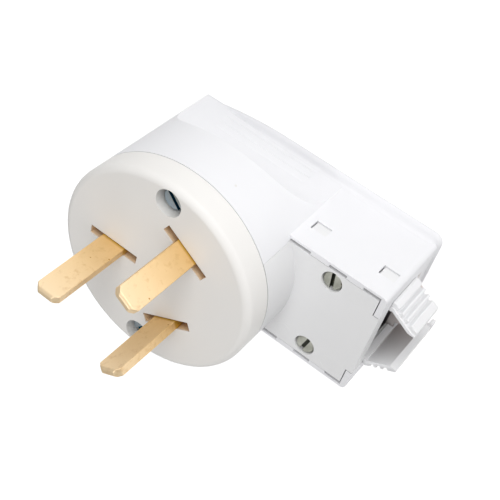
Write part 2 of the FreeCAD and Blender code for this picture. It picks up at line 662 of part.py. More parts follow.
def build_rear_cover():
    outer = build_envelope("cover_outside", COVER, WAIST, "scoop_radius", BACK, PARTING,
                           ARM_END, "arm_half", ARM_FRONT)
    end, half = size(ARM_END), size("arm_half")

    def at_end_corner(edge):
        middle = edge.CenterOfMass
        return abs(middle.x - end) < SAME and abs(abs(middle.y) - half) < SAME

    soften("PartDesign::Fillet", outer, "arm_edge", at_end_corner)
    rise = f"({LIP_HALF} - {LIP_TAIL_HALF})"
    tail = f"((lip_straight - {LIP_START})^2 + {rise}^2) / (2 * {rise})"
    add(outer, "Z", BACK, f"{BACK} + lip_depth", ("outline", [
        (LIP_START, f"-{LIP_TAIL_HALF}"), ("lip_straight", f"-{LIP_HALF}", tail),
        (f"{LIP_END} - lip_corner", f"-{LIP_HALF}"), (LIP_END, f"-{LIP_HALF} + lip_corner", "lip_corner"),
        (LIP_END, f"{LIP_HALF} - lip_corner"), (f"{LIP_END} - lip_corner", LIP_HALF, "lip_corner"),
        ("lip_straight", LIP_HALF), (LIP_START, LIP_TAIL_HALF, tail)]))
    for side in SIDES.values():
        low, high = sorted([f"{side} * ({WAIST} - rib_rise)", f"{side} * ({WAIST} + rib_rise)"], key=size)
        ribs = [block("rib_start", "rib_end", f"{RIB_TOP} - {rib} * rib_pitch - rib_width",
                      f"{RIB_TOP} - {rib} * rib_pitch") for rib in range(RIBS)]
        add(outer, "Y", low, high, *ribs)
    cavity = build_envelope("cover_cavity", CAVITY, f"({WAIST} - side_wall)", "scoop_radius + side_wall",
                            FLOOR, f"{PARTING} + cut_over", INNER_END, INNER_HALF, f"{ARM_FRONT} + cut_over")
    over = "cut_over"
    windows = [box(f"window_{place_name}", f"{start} + (notch_long - hook_wide) / 2 - move_gap",
                   f"{start} + (notch_long + hook_wide) / 2 + move_gap", f"-arm_half - {over}",
                   f"arm_half + {over}", WINDOW_LOW, WINDOW_TOP)
               for place_name, start in (("near", NOTCH_NEAR), ("far", NOTCH_FAR))]
    openings = [
        box("lid_rebate", f"{LID_START} - fit_gap", f"{ARM_END} - strip_depth", f"-({LID_HALF} + fit_gap)",
            f"{LID_HALF} + fit_gap", LID_SEAT, f"{ARM_FRONT} + {over}"),
        box("lid_wall_gap", f"{COVER} / 2", f"{ARM_END} - strip_depth", f"-({LID_WALL_HALF} + fit_gap)",
            f"{LID_WALL_HALF} + fit_gap", LID_SEAT, f"{PARTING} + {over}"),
        box("outlet", f"{INNER_END} - {over}", f"{ARM_END} + {over}", f"-{OUTLET_HALF}", OUTLET_HALF,
            f"{SADDLE_TOP} - tongue_thick", f"{ARM_FRONT} + {over}"),
    ]
    hollow = fuse("cover_hollow", [cavity] + windows + openings)
    shell = cut("cover_shell", outer, hollow)
    bosses, holes = [], []
    for side_name, side in SIDES.items():
        y = f"{side} * {BASE_SCREW}"
        bosses.append(cylinder(f"boss_{side_name}", "0", y, BOSS, f"{PARTING} - boss_tall", PARTING))
        holes.append(cylinder(f"insert_hole_{side_name}", "0", y, "insert_radius",
                              f"{PARTING} - insert_tall", f"{PARTING} + {over}"))
        holes.append(cylinder(f"tip_hole_{side_name}", "0", y, FREE_HOLE, f"{BASE_POINT} - {over}", PARTING))
    inner_bosses = doc.addObject("Part::MultiCommon", "bosses_inside")
    inner_bosses.Shapes = [fuse("bosses", bosses), outer]
    listed(cut("rear_cover", fuse("cover_with_bosses", [shell, inner_bosses]), fuse("cover_holes", holes)))


# Cord lid: plate, round wall part, end flange, screw pads, cord rib, jaw bearings and snap hooks

def build_cord_lid():
    lid = new_body("cord_lid")
    add(lid, "Z", LID_SEAT, ARM_FRONT, block(LID_START, LID_END, f"-{LID_HALF}", LID_HALF))
    wall = LID_WALL_HALF
    outer_x = f"sqrt({COVER}^2 - {wall}^2)"
    inner_x = f"sqrt({CAVITY}^2 - {wall}^2)"
    add(lid, "Z", LID_SEAT, f"{PARTING} - fit_gap", ("outline", [
        (outer_x, f"-{wall}"), (outer_x, wall, COVER), (inner_x, wall),
        (inner_x, f"-{wall}", f"-{CAVITY}")]))
    add(lid, "Z", FLANGE_EDGE, ARM_FRONT,
        block(INNER_END, ARM_END, f"-({OUTLET_HALF} - move_gap)", f"{OUTLET_HALF} - move_gap"))
    pads = []
    for side in SIDES.values():
        edges = sorted([f"{side} * {PAD_INNER}", f"{side} * ({INNER_HALF} - move_gap)"], key=size)
        pads.append(block(f"{LID_SCREW_X} - pad_half", f"{LID_SCREW_X} + pad_half", *edges))
    add(lid, "Z", f"{LID_SEAT} - pad_tall", LID_SEAT, *pads)
    add(lid, "Z", f"{LID_SEAT} - grip_tall", LID_SEAT,
        block(f"{LID_SCREW_X} - grip_long / 2", f"{LID_SCREW_X} + grip_long / 2",
              f"-{GRIP_HALF}", GRIP_HALF))
    add(lid, "Z", BEARING_EDGE, LID_SEAT,
        *[circle(PIVOT_X, f"{side} * {PIVOT_Y}", "bearing_radius") for side in SIDES.values()])
    tongue_out = f"({INNER_HALF} - fit_gap)"
    starts = [f"{notch} + (notch_long - hook_wide) / 2" for notch in (NOTCH_NEAR, NOTCH_FAR)]
    barb_low = f"{WINDOW_LOW} + move_gap"
    for start in starts:
        for side in SIDES.values():
            tongue = sorted([f"{side} * ({tongue_out} - hook_thick)", f"{side} * {tongue_out}"], key=size)
            barb = sorted([f"{side} * ({tongue_out} - hook_thick)", f"{side} * ({tongue_out} + barb_rise)"],
                          key=size)
            add(lid, "Z", barb_low, LID_SEAT, block(start, f"{start} + hook_wide", *tongue))
            add(lid, "Z", barb_low, f"{barb_low} + barb_tall", block(start, f"{start} + hook_wide", *barb))
    notches = []
    for start in (NOTCH_NEAR, NOTCH_MID, NOTCH_FAR):
        for side in SIDES.values():
            edges = sorted([f"{side} * ({LID_HALF} - notch_deep)", f"{side} * ({LID_HALF} + cut_over)"],
                           key=size)
            notches.append(block(start, f"{start} + notch_long", *edges))
    remove(lid, "Z", f"{LID_SEAT} - fit_gap", f"{ARM_FRONT} + cut_over", *notches)
    screws = [(LID_SCREW_X, f"{side} * {LID_SCREW_Y}") for side in SIDES.values()]
    remove(lid, "Z", LID_HEAD_SEAT, f"{ARM_FRONT} + cut_over", *[circle(x, y, LID_BORE) for x, y in screws])
    remove(lid, "Z", f"{LID_SEAT} - pad_tall - cut_over", f"{LID_HEAD_SEAT} + cut_over",
           *[circle(x, y, LID_THREAD) for x, y in screws])
    remove(lid, "Z", f"{BEARING_EDGE} - cut_over", f"{BEARING_EDGE} + pivot_deep",
           *[circle(PIVOT_X, f"{side} * {PIVOT_Y}", BEARING) for side in SIDES.values()])


# Lid screws, the cord clamp that they pull up, and its nuts

def build_cord_clamp():
    shank = f"({LID_HEAD_SEAT}) - ({CLAMP_LOW})"
    for side_name, side in SIDES.items():
        build_slotted_screw(f"lid_screw_{side_name}", LID_SCREW_X, f"{side} * {LID_SCREW_Y}",
                            "lid_screw_radius", "lid_head", "lid_head_tall", LID_HEAD_SEAT, shank,
                            LID_SLOT_TURNS[side_name])
    clamp = new_body("cord_clamp")
    half = f"({INNER_HALF} - move_gap)"
    add(clamp, "Z", CLAMP_LOW, CLAMP_TOP,
        block(f"{LID_SCREW_X} - pad_half", f"{LID_SCREW_X} + pad_half", f"-{half}", half))
    remove(clamp, "X", f"{LID_SCREW_X} - pad_half - cut_over", f"{LID_SCREW_X} + pad_half + cut_over",
           circle("0", f"{CLAMP_TOP} + cradle_radius - cradle_deep", "cradle_radius"))
    screws = [f"{side} * {LID_SCREW_Y}" for side in SIDES.values()]
    remove(clamp, "Z", f"{CLAMP_LOW} - cut_over", f"{CLAMP_TOP} + cut_over",
           *[circle(LID_SCREW_X, y, LID_FREE_HOLE) for y in screws])
    room = "(nut_half + play)"
    remove(clamp, "Z", f"{CLAMP_LOW} - cut_over", f"{CLAMP_LOW} + nut_tall",
           *[block(f"{LID_SCREW_X} - {room}", f"{LID_SCREW_X} + {room}", f"{y} - {room}", f"{y} + {room}")
             for y in screws])
    nuts = []
    for side_name, side in SIDES.items():
        y = f"{side} * {LID_SCREW_Y}"
        blank = box(f"nut_blank_{side_name}", f"{LID_SCREW_X} - nut_half", f"{LID_SCREW_X} + nut_half",
                    f"{y} - nut_half", f"{y} + nut_half", CLAMP_LOW, f"{CLAMP_LOW} + nut_tall")
        bore = cylinder(f"nut_bore_{side_name}", LID_SCREW_X, y, LID_THREAD, f"{CLAMP_LOW} - cut_over",
                        f"{CLAMP_LOW} + nut_tall + cut_over")
        nuts.append(cut(f"nut_{side_name}", blank, bore))
    group("clamp_nuts", nuts)


# Cord jaws: a barrel on trunnions, an arm through the outlet and a ridged wing with a straight tip.
# The lower wing reaches down to the back lip and ends in a small nub.

def wing_point(side, along, out):
    """A point of a wing, by its distance along the slope and out of its inner face."""
    return (f"{WING_START} + ({along}) * cos(jaw_slope) + ({out}) * sin(jaw_slope)",
            f"{side} * ({WING_ROOT} - ({along}) * sin(jaw_slope) + ({out}) * cos(jaw_slope))")


def wing_tip(side, out):
    """The point at a distance out of the wing's inner face, where the wing is cut off square."""
    drop = f"({WING_END} - {WING_START}) * sin(jaw_slope) / cos(jaw_slope)"
    return (WING_END, f"{side} * ({WING_ROOT} - {drop} + ({out}) / cos(jaw_slope))")


def build_jaw(name, side, wing_back):
    jaw = new_body(f"cord_jaw_{name}")
    y_pivot = f"{side} * {PIVOT_Y}"
    add(jaw, "Z", JAW_BACK, JAW_FRONT, circle(PIVOT_X, y_pivot, "barrel_radius"))
    arm = sorted([f"{side} * {JAW_ARM_IN}", f"{side} * {JAW_ARM_OUT}"], key=size)
    add(jaw, "Z", JAW_BACK, JAW_FRONT, block(PIVOT_X, WING_START, *arm))
    step = f"{ARM_END} + jaw_step"
    bend_x, bend_y = wing_point(side, "jaw_bend", "0")
    points = [(step, f"{side} * ({WING_ROOT} - (jaw_step - move_gap) * sin(jaw_slope) / cos(jaw_slope))"),
              (bend_x, bend_y), (WING_END, f"{side} * {WING_TIP_IN}"), wing_tip(side, "jaw_thick")]
    for ridge in reversed(range(RIDGES)):
        start = f"ridge_first + {ridge} * ridge_pitch"
        for along, out in ((f"{start} + groove_wide", "jaw_thick"),
                           (f"{start} + groove_wide", "jaw_thick - groove_deep"),
                           (start, "jaw_thick - groove_deep"), (start, "jaw_thick")):
            points.append(wing_point(side, along, out))
    root_x, root_y = wing_point(side, "0", "jaw_thick")
    points += [(root_x, root_y), (step, root_y), (WING_START, f"{side} * {JAW_ARM_OUT}")]
    add(jaw, "Z", wing_back, JAW_FRONT, ("outline", points + [(WING_START, f"{side} * {WING_ROOT}")]))
    add(jaw, "Z", max(wing_back, JAW_BACK, key=size), JAW_FRONT, block(f"{WING_START} - fit_gap", step, *arm))
    if side < 0:
        nub = sorted([f"{side} * ({WING_TIP_IN} - nub_proud)", f"{side} * ({WING_TIP_IN} + groove_wide)"],
                     key=size)
        add(jaw, "Z", f"{wing_back} - nub_tall", f"{wing_back} + nub_tall",
            block(f"{WING_END} - nub_long", WING_END, *nub))
    add(jaw, "Z", f"{SADDLE_TOP} - pivot_deep", f"{BEARING_EDGE} + pivot_deep - move_gap",
        circle(PIVOT_X, y_pivot, "pivot_radius"))


# Cord saddle: the floor under the cord with the jaws' lower bearings and a tongue between the jaws

def build_saddle():
    saddle = new_body("cord_saddle")
    add(saddle, "Z", FLOOR, SADDLE_TOP, block(SADDLE_START, INNER_END, f"-{SADDLE_HALF}", SADDLE_HALF))
    side = f"({OUTLET_HALF} - fit_gap)"
    add(saddle, "Z", f"{SADDLE_TOP} - tongue_thick", SADDLE_TOP, ("outline", [
        (f"{INNER_END} - cut_over", f"-{side}"), (ARM_END, f"-{side}"), (ARM_END, f"-{TONGUE_ROOT}"),
        (TONGUE_END, f"-{TONGUE_HALF}"), (TONGUE_END, TONGUE_HALF), (ARM_END, TONGUE_ROOT),
        (ARM_END, side), (f"{INNER_END} - cut_over", side)]))
    remove(saddle, "Z", f"{SADDLE_TOP} - pivot_deep - move_gap", f"{SADDLE_TOP} + cut_over",
           *[circle(PIVOT_X, f"{sign} * {PIVOT_Y}", BEARING) for sign in SIDES.values()])


def check_and_write():
    """Stop at a failed object or an odd volume, then write one STEP file for each sub-part."""
    doc.recompute()
    for thing in doc.Objects:
        if "Invalid" in thing.State or "Error" in thing.State:
            raise RuntimeError(f"{thing.Label} failed: {thing.State}")
    for body in [thing for thing in doc.Objects if thing.TypeId == "PartDesign::Body"]:
        volume = 0.0
        for step in [f for f in body.Group if f.TypeId.startswith("PartDesign::")]:
            grew = step.Shape.Volume - volume
            if (grew <= 0) == (step.TypeId in ("PartDesign::Pad", "PartDesign::Revolution")):
                raise RuntimeError(f"{step.Label} changed the volume of {body.Label} by {grew:.3f}")
            volume = step.Shape.Volume
    os.makedirs("parts", exist_ok=True)
    for node in nodes:
        shape = node.Shape
        if shape.isNull() or not shape.isValid() or not shape.Solids:
            raise RuntimeError(f"{node.Label} has no valid shape")
        shape.exportStep(f"parts/{node.Label}.step")
        print(f"{node.Label}: {len(shape.Solids)} solid(s), {shape.Volume:.1f} mm3")


build_pin_base()
build_retainer()
for blade_name, blade_sizes in BLADES.items():
    build_blade(blade_name, blade_sizes)
    build_terminal(blade_name, blade_sizes)
build_divider()
build_base_screws()
build_rear_cover()
build_cord_lid()
build_cord_clamp()
build_jaw("upper", SIDES["upper"], UPPER_WING_BACK)
build_jaw("lower", SIDES["lower"], LOWER_WING_BACK)
build_saddle()
check_and_write()
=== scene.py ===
"""Right-angle cooker plug: looks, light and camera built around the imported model.

Lengths are written in millimetres and turned into metres where a mesh is made. The pins point up
(+Z), the cord leaves along +X, and the plug stands on its flat back.
"""

import json
import logging
import math
from dataclasses import KW_ONLY, dataclass
from enum import Enum
from typing import Callable, Sequence

import bpy
from mathutils import Matrix, Vector

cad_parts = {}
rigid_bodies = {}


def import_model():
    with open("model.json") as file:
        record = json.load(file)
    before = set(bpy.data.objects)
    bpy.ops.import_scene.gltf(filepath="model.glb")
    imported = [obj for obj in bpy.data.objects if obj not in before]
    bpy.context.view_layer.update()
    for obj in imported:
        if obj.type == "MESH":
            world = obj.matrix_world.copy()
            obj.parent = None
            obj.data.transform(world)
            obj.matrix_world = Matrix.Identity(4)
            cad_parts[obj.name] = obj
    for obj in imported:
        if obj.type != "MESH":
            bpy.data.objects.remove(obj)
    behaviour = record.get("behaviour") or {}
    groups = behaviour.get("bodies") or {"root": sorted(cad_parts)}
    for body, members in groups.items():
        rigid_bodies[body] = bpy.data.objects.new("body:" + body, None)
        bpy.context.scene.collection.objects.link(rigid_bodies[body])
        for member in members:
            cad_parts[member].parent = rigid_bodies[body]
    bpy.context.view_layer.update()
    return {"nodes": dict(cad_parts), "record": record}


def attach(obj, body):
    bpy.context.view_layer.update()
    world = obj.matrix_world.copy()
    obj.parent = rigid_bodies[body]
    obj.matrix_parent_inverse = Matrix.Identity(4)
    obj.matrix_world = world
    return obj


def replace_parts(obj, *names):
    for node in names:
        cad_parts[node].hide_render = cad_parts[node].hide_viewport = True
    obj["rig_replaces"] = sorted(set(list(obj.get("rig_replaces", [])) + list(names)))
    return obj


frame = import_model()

Point = tuple[float, float]
Span = tuple[float, float]
Triple = tuple[float, float, float]
Piece = bpy.types.Object
Tree = bpy.types.NodeTree
Node = bpy.types.Node
Socket = bpy.types.NodeSocket
Test = Callable[[Vector, Vector], bool]

LOG = logging.getLogger("cooker_plug")
MM = 0.001
CENTRE: Point = (0.0, 0.0)
ROUND_STEPS = 192
HOLE_STEPS = 64
SHANK_STEPS = 32
CORNER_STEPS = 6
NEAR = 1e-3  # how far off its level an edge may lie when it is picked
UPWARD = 0.9  # how far the normal of a face that looks up has to rise
SHY = 0.01  # set-back that keeps the faces of joined solids out of one plane
WELD = 0.003
SMOOTH_ANGLE = 38.0
MARK = "shaded_face"
SLOTS_MIDDLE = (-0.5 * MM, 0.0, 0.0)  # middle of the circle that holds the blade slots
# reach round SLOTS_MIDDLE that keeps the slots' painted light and shade off the rest of the face
SLOTS_REACH = 21.3
WAVE_SHARE = 0.35
STAIN_EDGE: Span = (0.54, 0.66)


class Axis(Enum):
    """The axis along which an outline is extruded."""

    X = "x"
    Y = "y"
    Z = "z"

    def point(self, u: float, v: float, level: float) -> Vector:
        """Put a point of an outline at a level, in metres."""
        spots = {Axis.X: (level, u, v), Axis.Y: (u, level, v), Axis.Z: (u, v, level)}
        return Vector(spots[self]) * MM

    def step(self, length: float) -> Vector:
        """A move along the axis, in metres."""
        return self.point(0.0, 0.0, length)


class Side(Enum):
    """The two like sides of the plug, across the cord."""

    UPPER = 1
    LOWER = -1

    @property
    def label(self) -> str:
        """The word used in the names of this side's pieces."""
        return self.name.lower()

    def place(self, x: float, y: float) -> Point:
        """A point on this side."""
        return x, self.value * y

    def span(self, near: float, far: float) -> list[float]:
        """The lower and the upper end of a stretch on this side."""
        return sorted((self.value * near, self.value * far))


# Outlines, in millimetres

def arc(centre: Point, radius: float, start: float, end: float, steps: int) -> list[Point]:
    """Points along an arc.

    Args:
        centre: Middle of the arc.
        radius: Radius of the arc.
        start: First angle in degrees.
        end: Last angle in degrees.
        steps: Number of straight pieces.

    Returns:
        The points from the first angle to the last.
    """
    angles = [math.radians(start + (end - start) * i / steps) for i in range(steps + 1)]
    return [(centre[0] + radius * math.cos(a), centre[1] + radius * math.sin(a)) for a in angles]


def ring(radius: float, centre: Point = CENTRE, steps: int = HOLE_STEPS) -> list[Point]:
    """Points round a full circle."""
    return arc(centre, radius, 0.0, 360.0, steps)[:-1]


def rectangle(x_low: float, x_high: float, y_low: float, y_high: float) -> list[Point]:
    """The corners of a rectangle."""
    return [(x_low, y_low), (x_high, y_low), (x_high, y_high), (x_low, y_high)]


def band(x_low: float, x_high: float, half: float) -> list[Point]:
    """The corners of a rectangle that reaches as far to one side of the cord as to the other."""
    return rectangle(x_low, x_high, -half, half)


def mirrored(outline: Sequence[Point], side: Side) -> list[Point]:
    """An outline with its second coordinate on the given side."""
    return [(u, v * side.value) for u, v in outline]


def closed(edge: Sequence[Point]) -> list[Point]:
    """A closed outline from its half on one side of the cord."""
    return [*edge, *((x, -y) for x, y in reversed(edge))]


# Modelling, as by hand

def deselect() -> None:
    """Leave edit mode and select nothing."""
    if bpy.context.object and bpy.context.object.mode != "OBJECT":
        bpy.ops.object.mode_set(mode="OBJECT")
    bpy.ops.object.select_all(action="DESELECT")


def work_on(piece: Piece) -> None:
    """Make a piece the only selected and the active one.

    Args:
        piece: The piece to work on.
    """
    deselect()
    piece.select_set(True)
    bpy.context.view_layer.objects.active = piece


def pick_none(piece: Piece, kind: str) -> None:
    """Deselect a piece's whole mesh, so that edges or faces can be picked in code.

    Args:
        piece: The piece to work on.
        kind: EDGE or FACE.
    """
    work_on(piece)
    bpy.ops.object.mode_set(mode="EDIT")
    bpy.ops.mesh.select_mode(type=kind)
    bpy.ops.mesh.select_all(action="DESELECT")
    bpy.ops.object.mode_set(mode="OBJECT")


def prism(name: str, outline: Sequence[Point], low: float, high: float, axis: Axis = Axis.Z) -> Piece:
    """Extrude an outline between two levels.

    Args:
        name: Name of the new piece.
        outline: Corners of the outline in the plane across the axis.
        low: Level where the extrusion starts.
        high: Level where it ends.
        axis: Axis of the extrusion.

    Returns:
        The new piece, closed, with its faces outwards.
    """
    deselect()
    bpy.ops.mesh.primitive_circle_add(vertices=len(outline), radius=MM, fill_type="NGON")
    piece = bpy.context.object
    piece.name = name
    for vertex, (u, v) in zip(piece.data.vertices, outline):
        vertex.co = axis.point(u, v, low)
    bpy.ops.object.mode_set(mode="EDIT")
    bpy.ops.mesh.select_all(action="SELECT")
    bpy.ops.mesh.extrude_region_move(TRANSFORM_OT_translate={"value": axis.step(high - low)})
    bpy.ops.mesh.select_all(action="SELECT")
    bpy.ops.mesh.normals_make_consistent(inside=False)
    bpy.ops.object.mode_set(mode="OBJECT")
    return piece


def apply_modifier(piece: Piece, kind: str, **values: object) -> None:
    """Add a modifier and apply it.

    Args:
        piece: The piece to change.
        kind: Modifier type.
        **values: Settings of the modifier.
    """
    work_on(piece)
    modifier = piece.modifiers.new(kind.lower(), kind)
    for key, value in values.items():
        setattr(modifier, key, value)
    bpy.ops.object.modifier_apply(modifier=modifier.name)


def combine(piece: Piece, others: Sequence[Piece], operation: str) -> Piece:
    """Join or cut a piece with others, which are used up.

    Args:
        piece: The piece that stays.
        others: Pieces joined to it or taken from it.
        operation: UNION or DIFFERENCE.

    Returns:
        The changed piece.
    """
    for other in others:
        apply_modifier(piece, "BOOLEAN", operation=operation, solver="MANIFOLD", object=other)
        bpy.data.objects.remove(other)
    return piece


def join(piece: Piece, *others: Piece) -> Piece:
    """Join other pieces to a piece."""
    return combine(piece, others, "UNION")


def carve(piece: Piece, *others: Piece) -> Piece:
    """Take other pieces away from a piece."""
    return combine(piece, others, "DIFFERENCE")


def at_level(level: float) -> Test:
    """A test that picks the edges at a level."""
    return lambda a, b: abs(a.z - level) < NEAR and abs(b.z - level) < NEAR


def bevel_where(piece: Piece, width: float, wanted: Test, segments: int = 1) -> Piece:
    """Bevel the edges that a test picks.

    Args:
        piece: The piece to bevel.
        width: Width of the bevel in millimetres.
        wanted: Test of an edge by its two ends, in millimetres.
        segments: Number of faces across the bevel.

    Returns:
        The changed piece.
    """
    pick_none(piece, "EDGE")
    spots = [vertex.co / MM for vertex in piece.data.vertices]
    for edge in piece.data.edges:
        edge.select = wanted(spots[edge.vertices[0]], spots[edge.vertices[1]])
    bpy.ops.object.mode_set(mode="EDIT")
    bpy.ops.mesh.bevel(offset=width * MM, segments=segments, affect="EDGES", clamp_overlap=True)
    bpy.ops.object.mode_set(mode="OBJECT")
    return piece


def soften(piece: Piece, width: float = 0.0, segments: int = 2, angle: float = 35.0) -> Piece:
    """Round a piece's sharp edges, then shade it smooth between the edges that it keeps.

    Args:
        piece: The piece to finish.
        width: Width of the rounding in millimetres, or 0 for none.
        segments: Number of faces across the rounding.
        angle: Angle in degrees past which an edge is rounded.

    Returns:
        The changed piece.
    """
    apply_modifier(piece, "WELD", merge_threshold=WELD * MM)
    if width > 0:
        apply_modifier(piece, "BEVEL", width=width * MM, segments=segments, limit_method="ANGLE",
                       angle_limit=math.radians(angle), use_clamp_overlap=True)
    work_on(piece)
    bpy.ops.object.shade_smooth_by_angle(angle=math.radians(SMOOTH_ANGLE))
    return piece


def settle(piece: Piece, x: float = 0.0, y: float = 0.0, turn: float = 0.0) -> Piece:
    """Turn a piece about Z and move it, and leave its object at the origin.

    Args:
        piece: The piece to place.
        x: Place along the cord, in millimetres.
        y: Place across the cord, in millimetres.
        turn: Turn about Z, in degrees.

    Returns:
        The placed piece.
    """
    turned = Matrix.Rotation(math.radians(turn), 4, "Z")
    piece.matrix_world = Matrix.Translation(Vector((x, y, 0.0)) * MM) @ turned
    work_on(piece)
    bpy.ops.object.transform_apply(location=True, rotation=True, scale=True)
    return piece


def mark_faces(piece: Piece, wanted: Test) -> None:
    """Mark, for a tint, the faces that a test picks.

    Args:
        piece: The piece to mark.
        wanted: Test of a face by its middle, in millimetres, and its normal.
    """
    marks = piece.data.attributes.new(MARK, "FLOAT", "FACE")
    for face in piece.data.polygons:
        marks.data[face.index].value = float(wanted(face.center / MM, face.normal))


# Shader nodes and the groups that the finishes share

def new_group(name: str, inputs: dict[str, float], outputs: Sequence[str]) -> tuple[Tree, Node, Node]:
    """Start a shader group whose sockets are all plain values.

    Args:
        name: Name of the group.
        inputs: Names and first values of its inputs.
        outputs: Names of its outputs.

    Returns:
        The group, its input node and its output node.
    """
    group = bpy.data.node_groups.new(name, "ShaderNodeTree")
    for label, value in inputs.items():
        socket = group.interface.new_socket(name=label, in_out="INPUT", socket_type="NodeSocketFloat")
        socket.default_value = value
    for label in outputs:
        group.interface.new_socket(name=label, in_out="OUTPUT", socket_type="NodeSocketFloat")
    return group, group.nodes.new("NodeGroupInput"), group.nodes.new("NodeGroupOutput")


def add_node(tree: Tree, kind: str, inputs: dict | None = None, **values: object) -> Node:
    """Add a node, set its values, and link or set its inputs.

    Args:
        tree: Node tree to add to.
        kind: Node type.
        inputs: Input name or index, with a value or an output socket to link.
        **values: Attributes of the node.

    Returns:
        The new node.
    """
    node = tree.nodes.new(kind)
    for key, value in values.items():
        setattr(node, key, value)
    for key, value in (inputs or {}).items():
        if isinstance(value, Socket):
            tree.links.new(value, node.inputs[key])
        else:
            node.inputs[key].default_value = value
    return node


def maths(tree: Tree, operation: str, *values: Socket | float) -> Socket:
    """Work out one value from others."""
    return add_node(tree, "ShaderNodeMath", dict(enumerate(values)), operation=operation).outputs[0]


def object_point(tree: Tree) -> Socket:
    """The point of the surface, in the piece's own frame."""
    return add_node(tree, "ShaderNodeTexCoord").outputs["Object"]


def noise(tree: Tree, spot: Socket, scale: Socket, detail: float, roughness: float = 0.5) -> Socket:
    """Soft noise from 0 to 1.

    Args:
        tree: Node tree to add to.
        spot: The point at which it is read.
        scale: Its fineness.
        detail: Number of finer layers on top.
        roughness: Strength of those layers.

    Returns:
        The noise's socket.
    """
    inputs = {"Vector": spot, "Scale": scale, "Detail": detail, "Roughness": roughness}
    return add_node(tree, "ShaderNodeTexNoise", inputs).outputs["Fac"]


def spread(tree: Tree, value: Socket, low: float, high: float) -> Socket:
    """Map a value from 0..1 to another range."""
    node = add_node(tree, "ShaderNodeMapRange", {"Value": value, "To Min": low, "To Max": high})
    return node.outputs["Result"]


def mix(tree: Tree, factor: Socket, under: Socket | Sequence[float], over: Sequence[float]) -> Socket:
    """Lay a colour over another.

    Args:
        tree: Node tree to add to.
        factor: 0 for the lower colour, 1 for the upper one.
        under: The lower colour, or its socket.
        over: The upper colour.

    Returns:
        The mixed colour's socket.
    """
    first = under if isinstance(under, Socket) else (*under, 1.0)
    inputs = {"Factor": factor, "A": first, "B": (*over, 1.0)}
    return add_node(tree, "ShaderNodeMix", inputs, data_type="RGBA").outputs["Result"]


def mould_grain_group() -> Tree:
    """Fine spark-eroded grain with a slow waviness, as a height and a tone from 0 to 1.

    Returns:
        The shader group.
    """
    group, start, end = new_group("mould_grain", {"Grain": 5200.0, "Wave": 60.0}, ["Height", "Tone"])
    spot = object_point(group)
    fine = noise(group, spot, start.outputs["Grain"], detail=3.0)
    slow = noise(group, spot, start.outputs["Wave"], detail=4.0)
    group.links.new(maths(group, "MULTIPLY_ADD", slow, WAVE_SHARE, fine), end.inputs["Height"])
    group.links.new(slow, end.inputs["Tone"])
    return group


def speck_group() -> Tree:
    """Sparse round specks of dust or pitting, as a mask.

    Returns:
        The shader group.
    """
    group, start, end = new_group("specks", {"Scale": 300.0, "Share": 0.1, "Size": 0.2}, ["Mask"])
    cells = add_node(group, "ShaderNodeTexVoronoi",
                     {"Vector": object_point(group), "Scale": start.outputs["Scale"]})
    near = maths(group, "LESS_THAN", cells.outputs["Distance"], start.outputs["Size"])
    pick = add_node(group, "ShaderNodeSeparateColor", {"Color": cells.outputs["Color"]})
    few = maths(group, "LESS_THAN", pick.outputs[0], start.outputs["Share"])
    group.links.new(maths(group, "MULTIPLY", near, few), end.inputs["Mask"])
    return group


def stain_group() -> Tree:
    """Soft uneven blotches of wear, as a mask.

    Returns:
        The shader group.
    """
    group, start, end = new_group("stains", {"Scale": 400.0, "Strength": 0.5}, ["Mask"])
    cloud = noise(group, object_point(group), start.outputs["Scale"], detail=6.0, roughness=0.65)
    low, high = STAIN_EDGE
    mask = add_node(group, "ShaderNodeMapRange", {"Value": cloud, "From Min": low, "From Max": high,
                                                  "To Max": start.outputs["Strength"]})
    group.links.new(mask.outputs["Result"], end.inputs["Mask"])
    return group


def brushing_group() -> Tree:
    """Fine lines left by rolling and polishing, drawn out along the pins, as a value from 0 to 1.

    Returns:
        The shader group.
    """
    group, start, end = new_group("brushing", {"Scale": 2500.0, "Draw": 0.02}, ["Line"])
    parts = add_node(group, "ShaderNodeSeparateXYZ", {"Vector": object_point(group)}).outputs
    drawn = maths(group, "MULTIPLY", parts["Z"], start.outputs["Draw"])
    place = add_node(group, "ShaderNodeCombineXYZ", {"X": parts["X"], "Y": parts["Y"], "Z": drawn})
    lines = noise(group, place.outputs[0], start.outputs["Scale"], detail=4.0)
    group.links.new(lines, end.inputs["Line"])
    return group


def level_fade_group() -> Tree:
    """A rise from 0 to 1 between two levels along Z or X, within a reach of the blade slots' middle.

    Returns:
        The shader group.
    """
    group, start, end = new_group("level_fade", {"From": 0.0, "To": 0.001, "Reach": 1.0, "Along X": 0.0},
                                  ["Mask"])
    parts = add_node(group, "ShaderNodeSeparateXYZ", {"Vector": object_point(group)}).outputs
    level = add_node(group, "ShaderNodeMix",
                     {"Factor": start.outputs["Along X"], "A": parts["Z"], "B": parts["X"]})
    fade = add_node(group, "ShaderNodeMapRange",
                    {"Value": level.outputs["Result"], "From Min": start.outputs["From"],
                     "From Max": start.outputs["To"]})
    flat = add_node(group, "ShaderNodeCombineXYZ", {"X": parts["X"], "Y": parts["Y"]})
    away = add_node(group, "ShaderNodeVectorMath", {0: flat.outputs[0], 1: SLOTS_MIDDLE},
                    operation="DISTANCE")
    near = maths(group, "LESS_THAN", away.outputs["Value"], start.outputs["Reach"])
    group.links.new(maths(group, "MULTIPLY", fade.outputs["Result"], near), end.inputs["Mask"])
    return group


class Effects:
    """The shared shader groups, each built once."""

    def __init__(self) -> None:
        """Build every group."""
        self.grain = mould_grain_group()
        self.specks = speck_group()
        self.stains = stain_group()
        self.brushing = brushing_group()
        self.level_fade = level_fade_group()

    @staticmethod
    def place(tree: Tree, group: Tree, inputs: dict[str, float] | None = None) -> Node:
        """Place a group in a material with its own values."""
        return add_node(tree, "ShaderNodeGroup", inputs, node_tree=group)


# Finishes

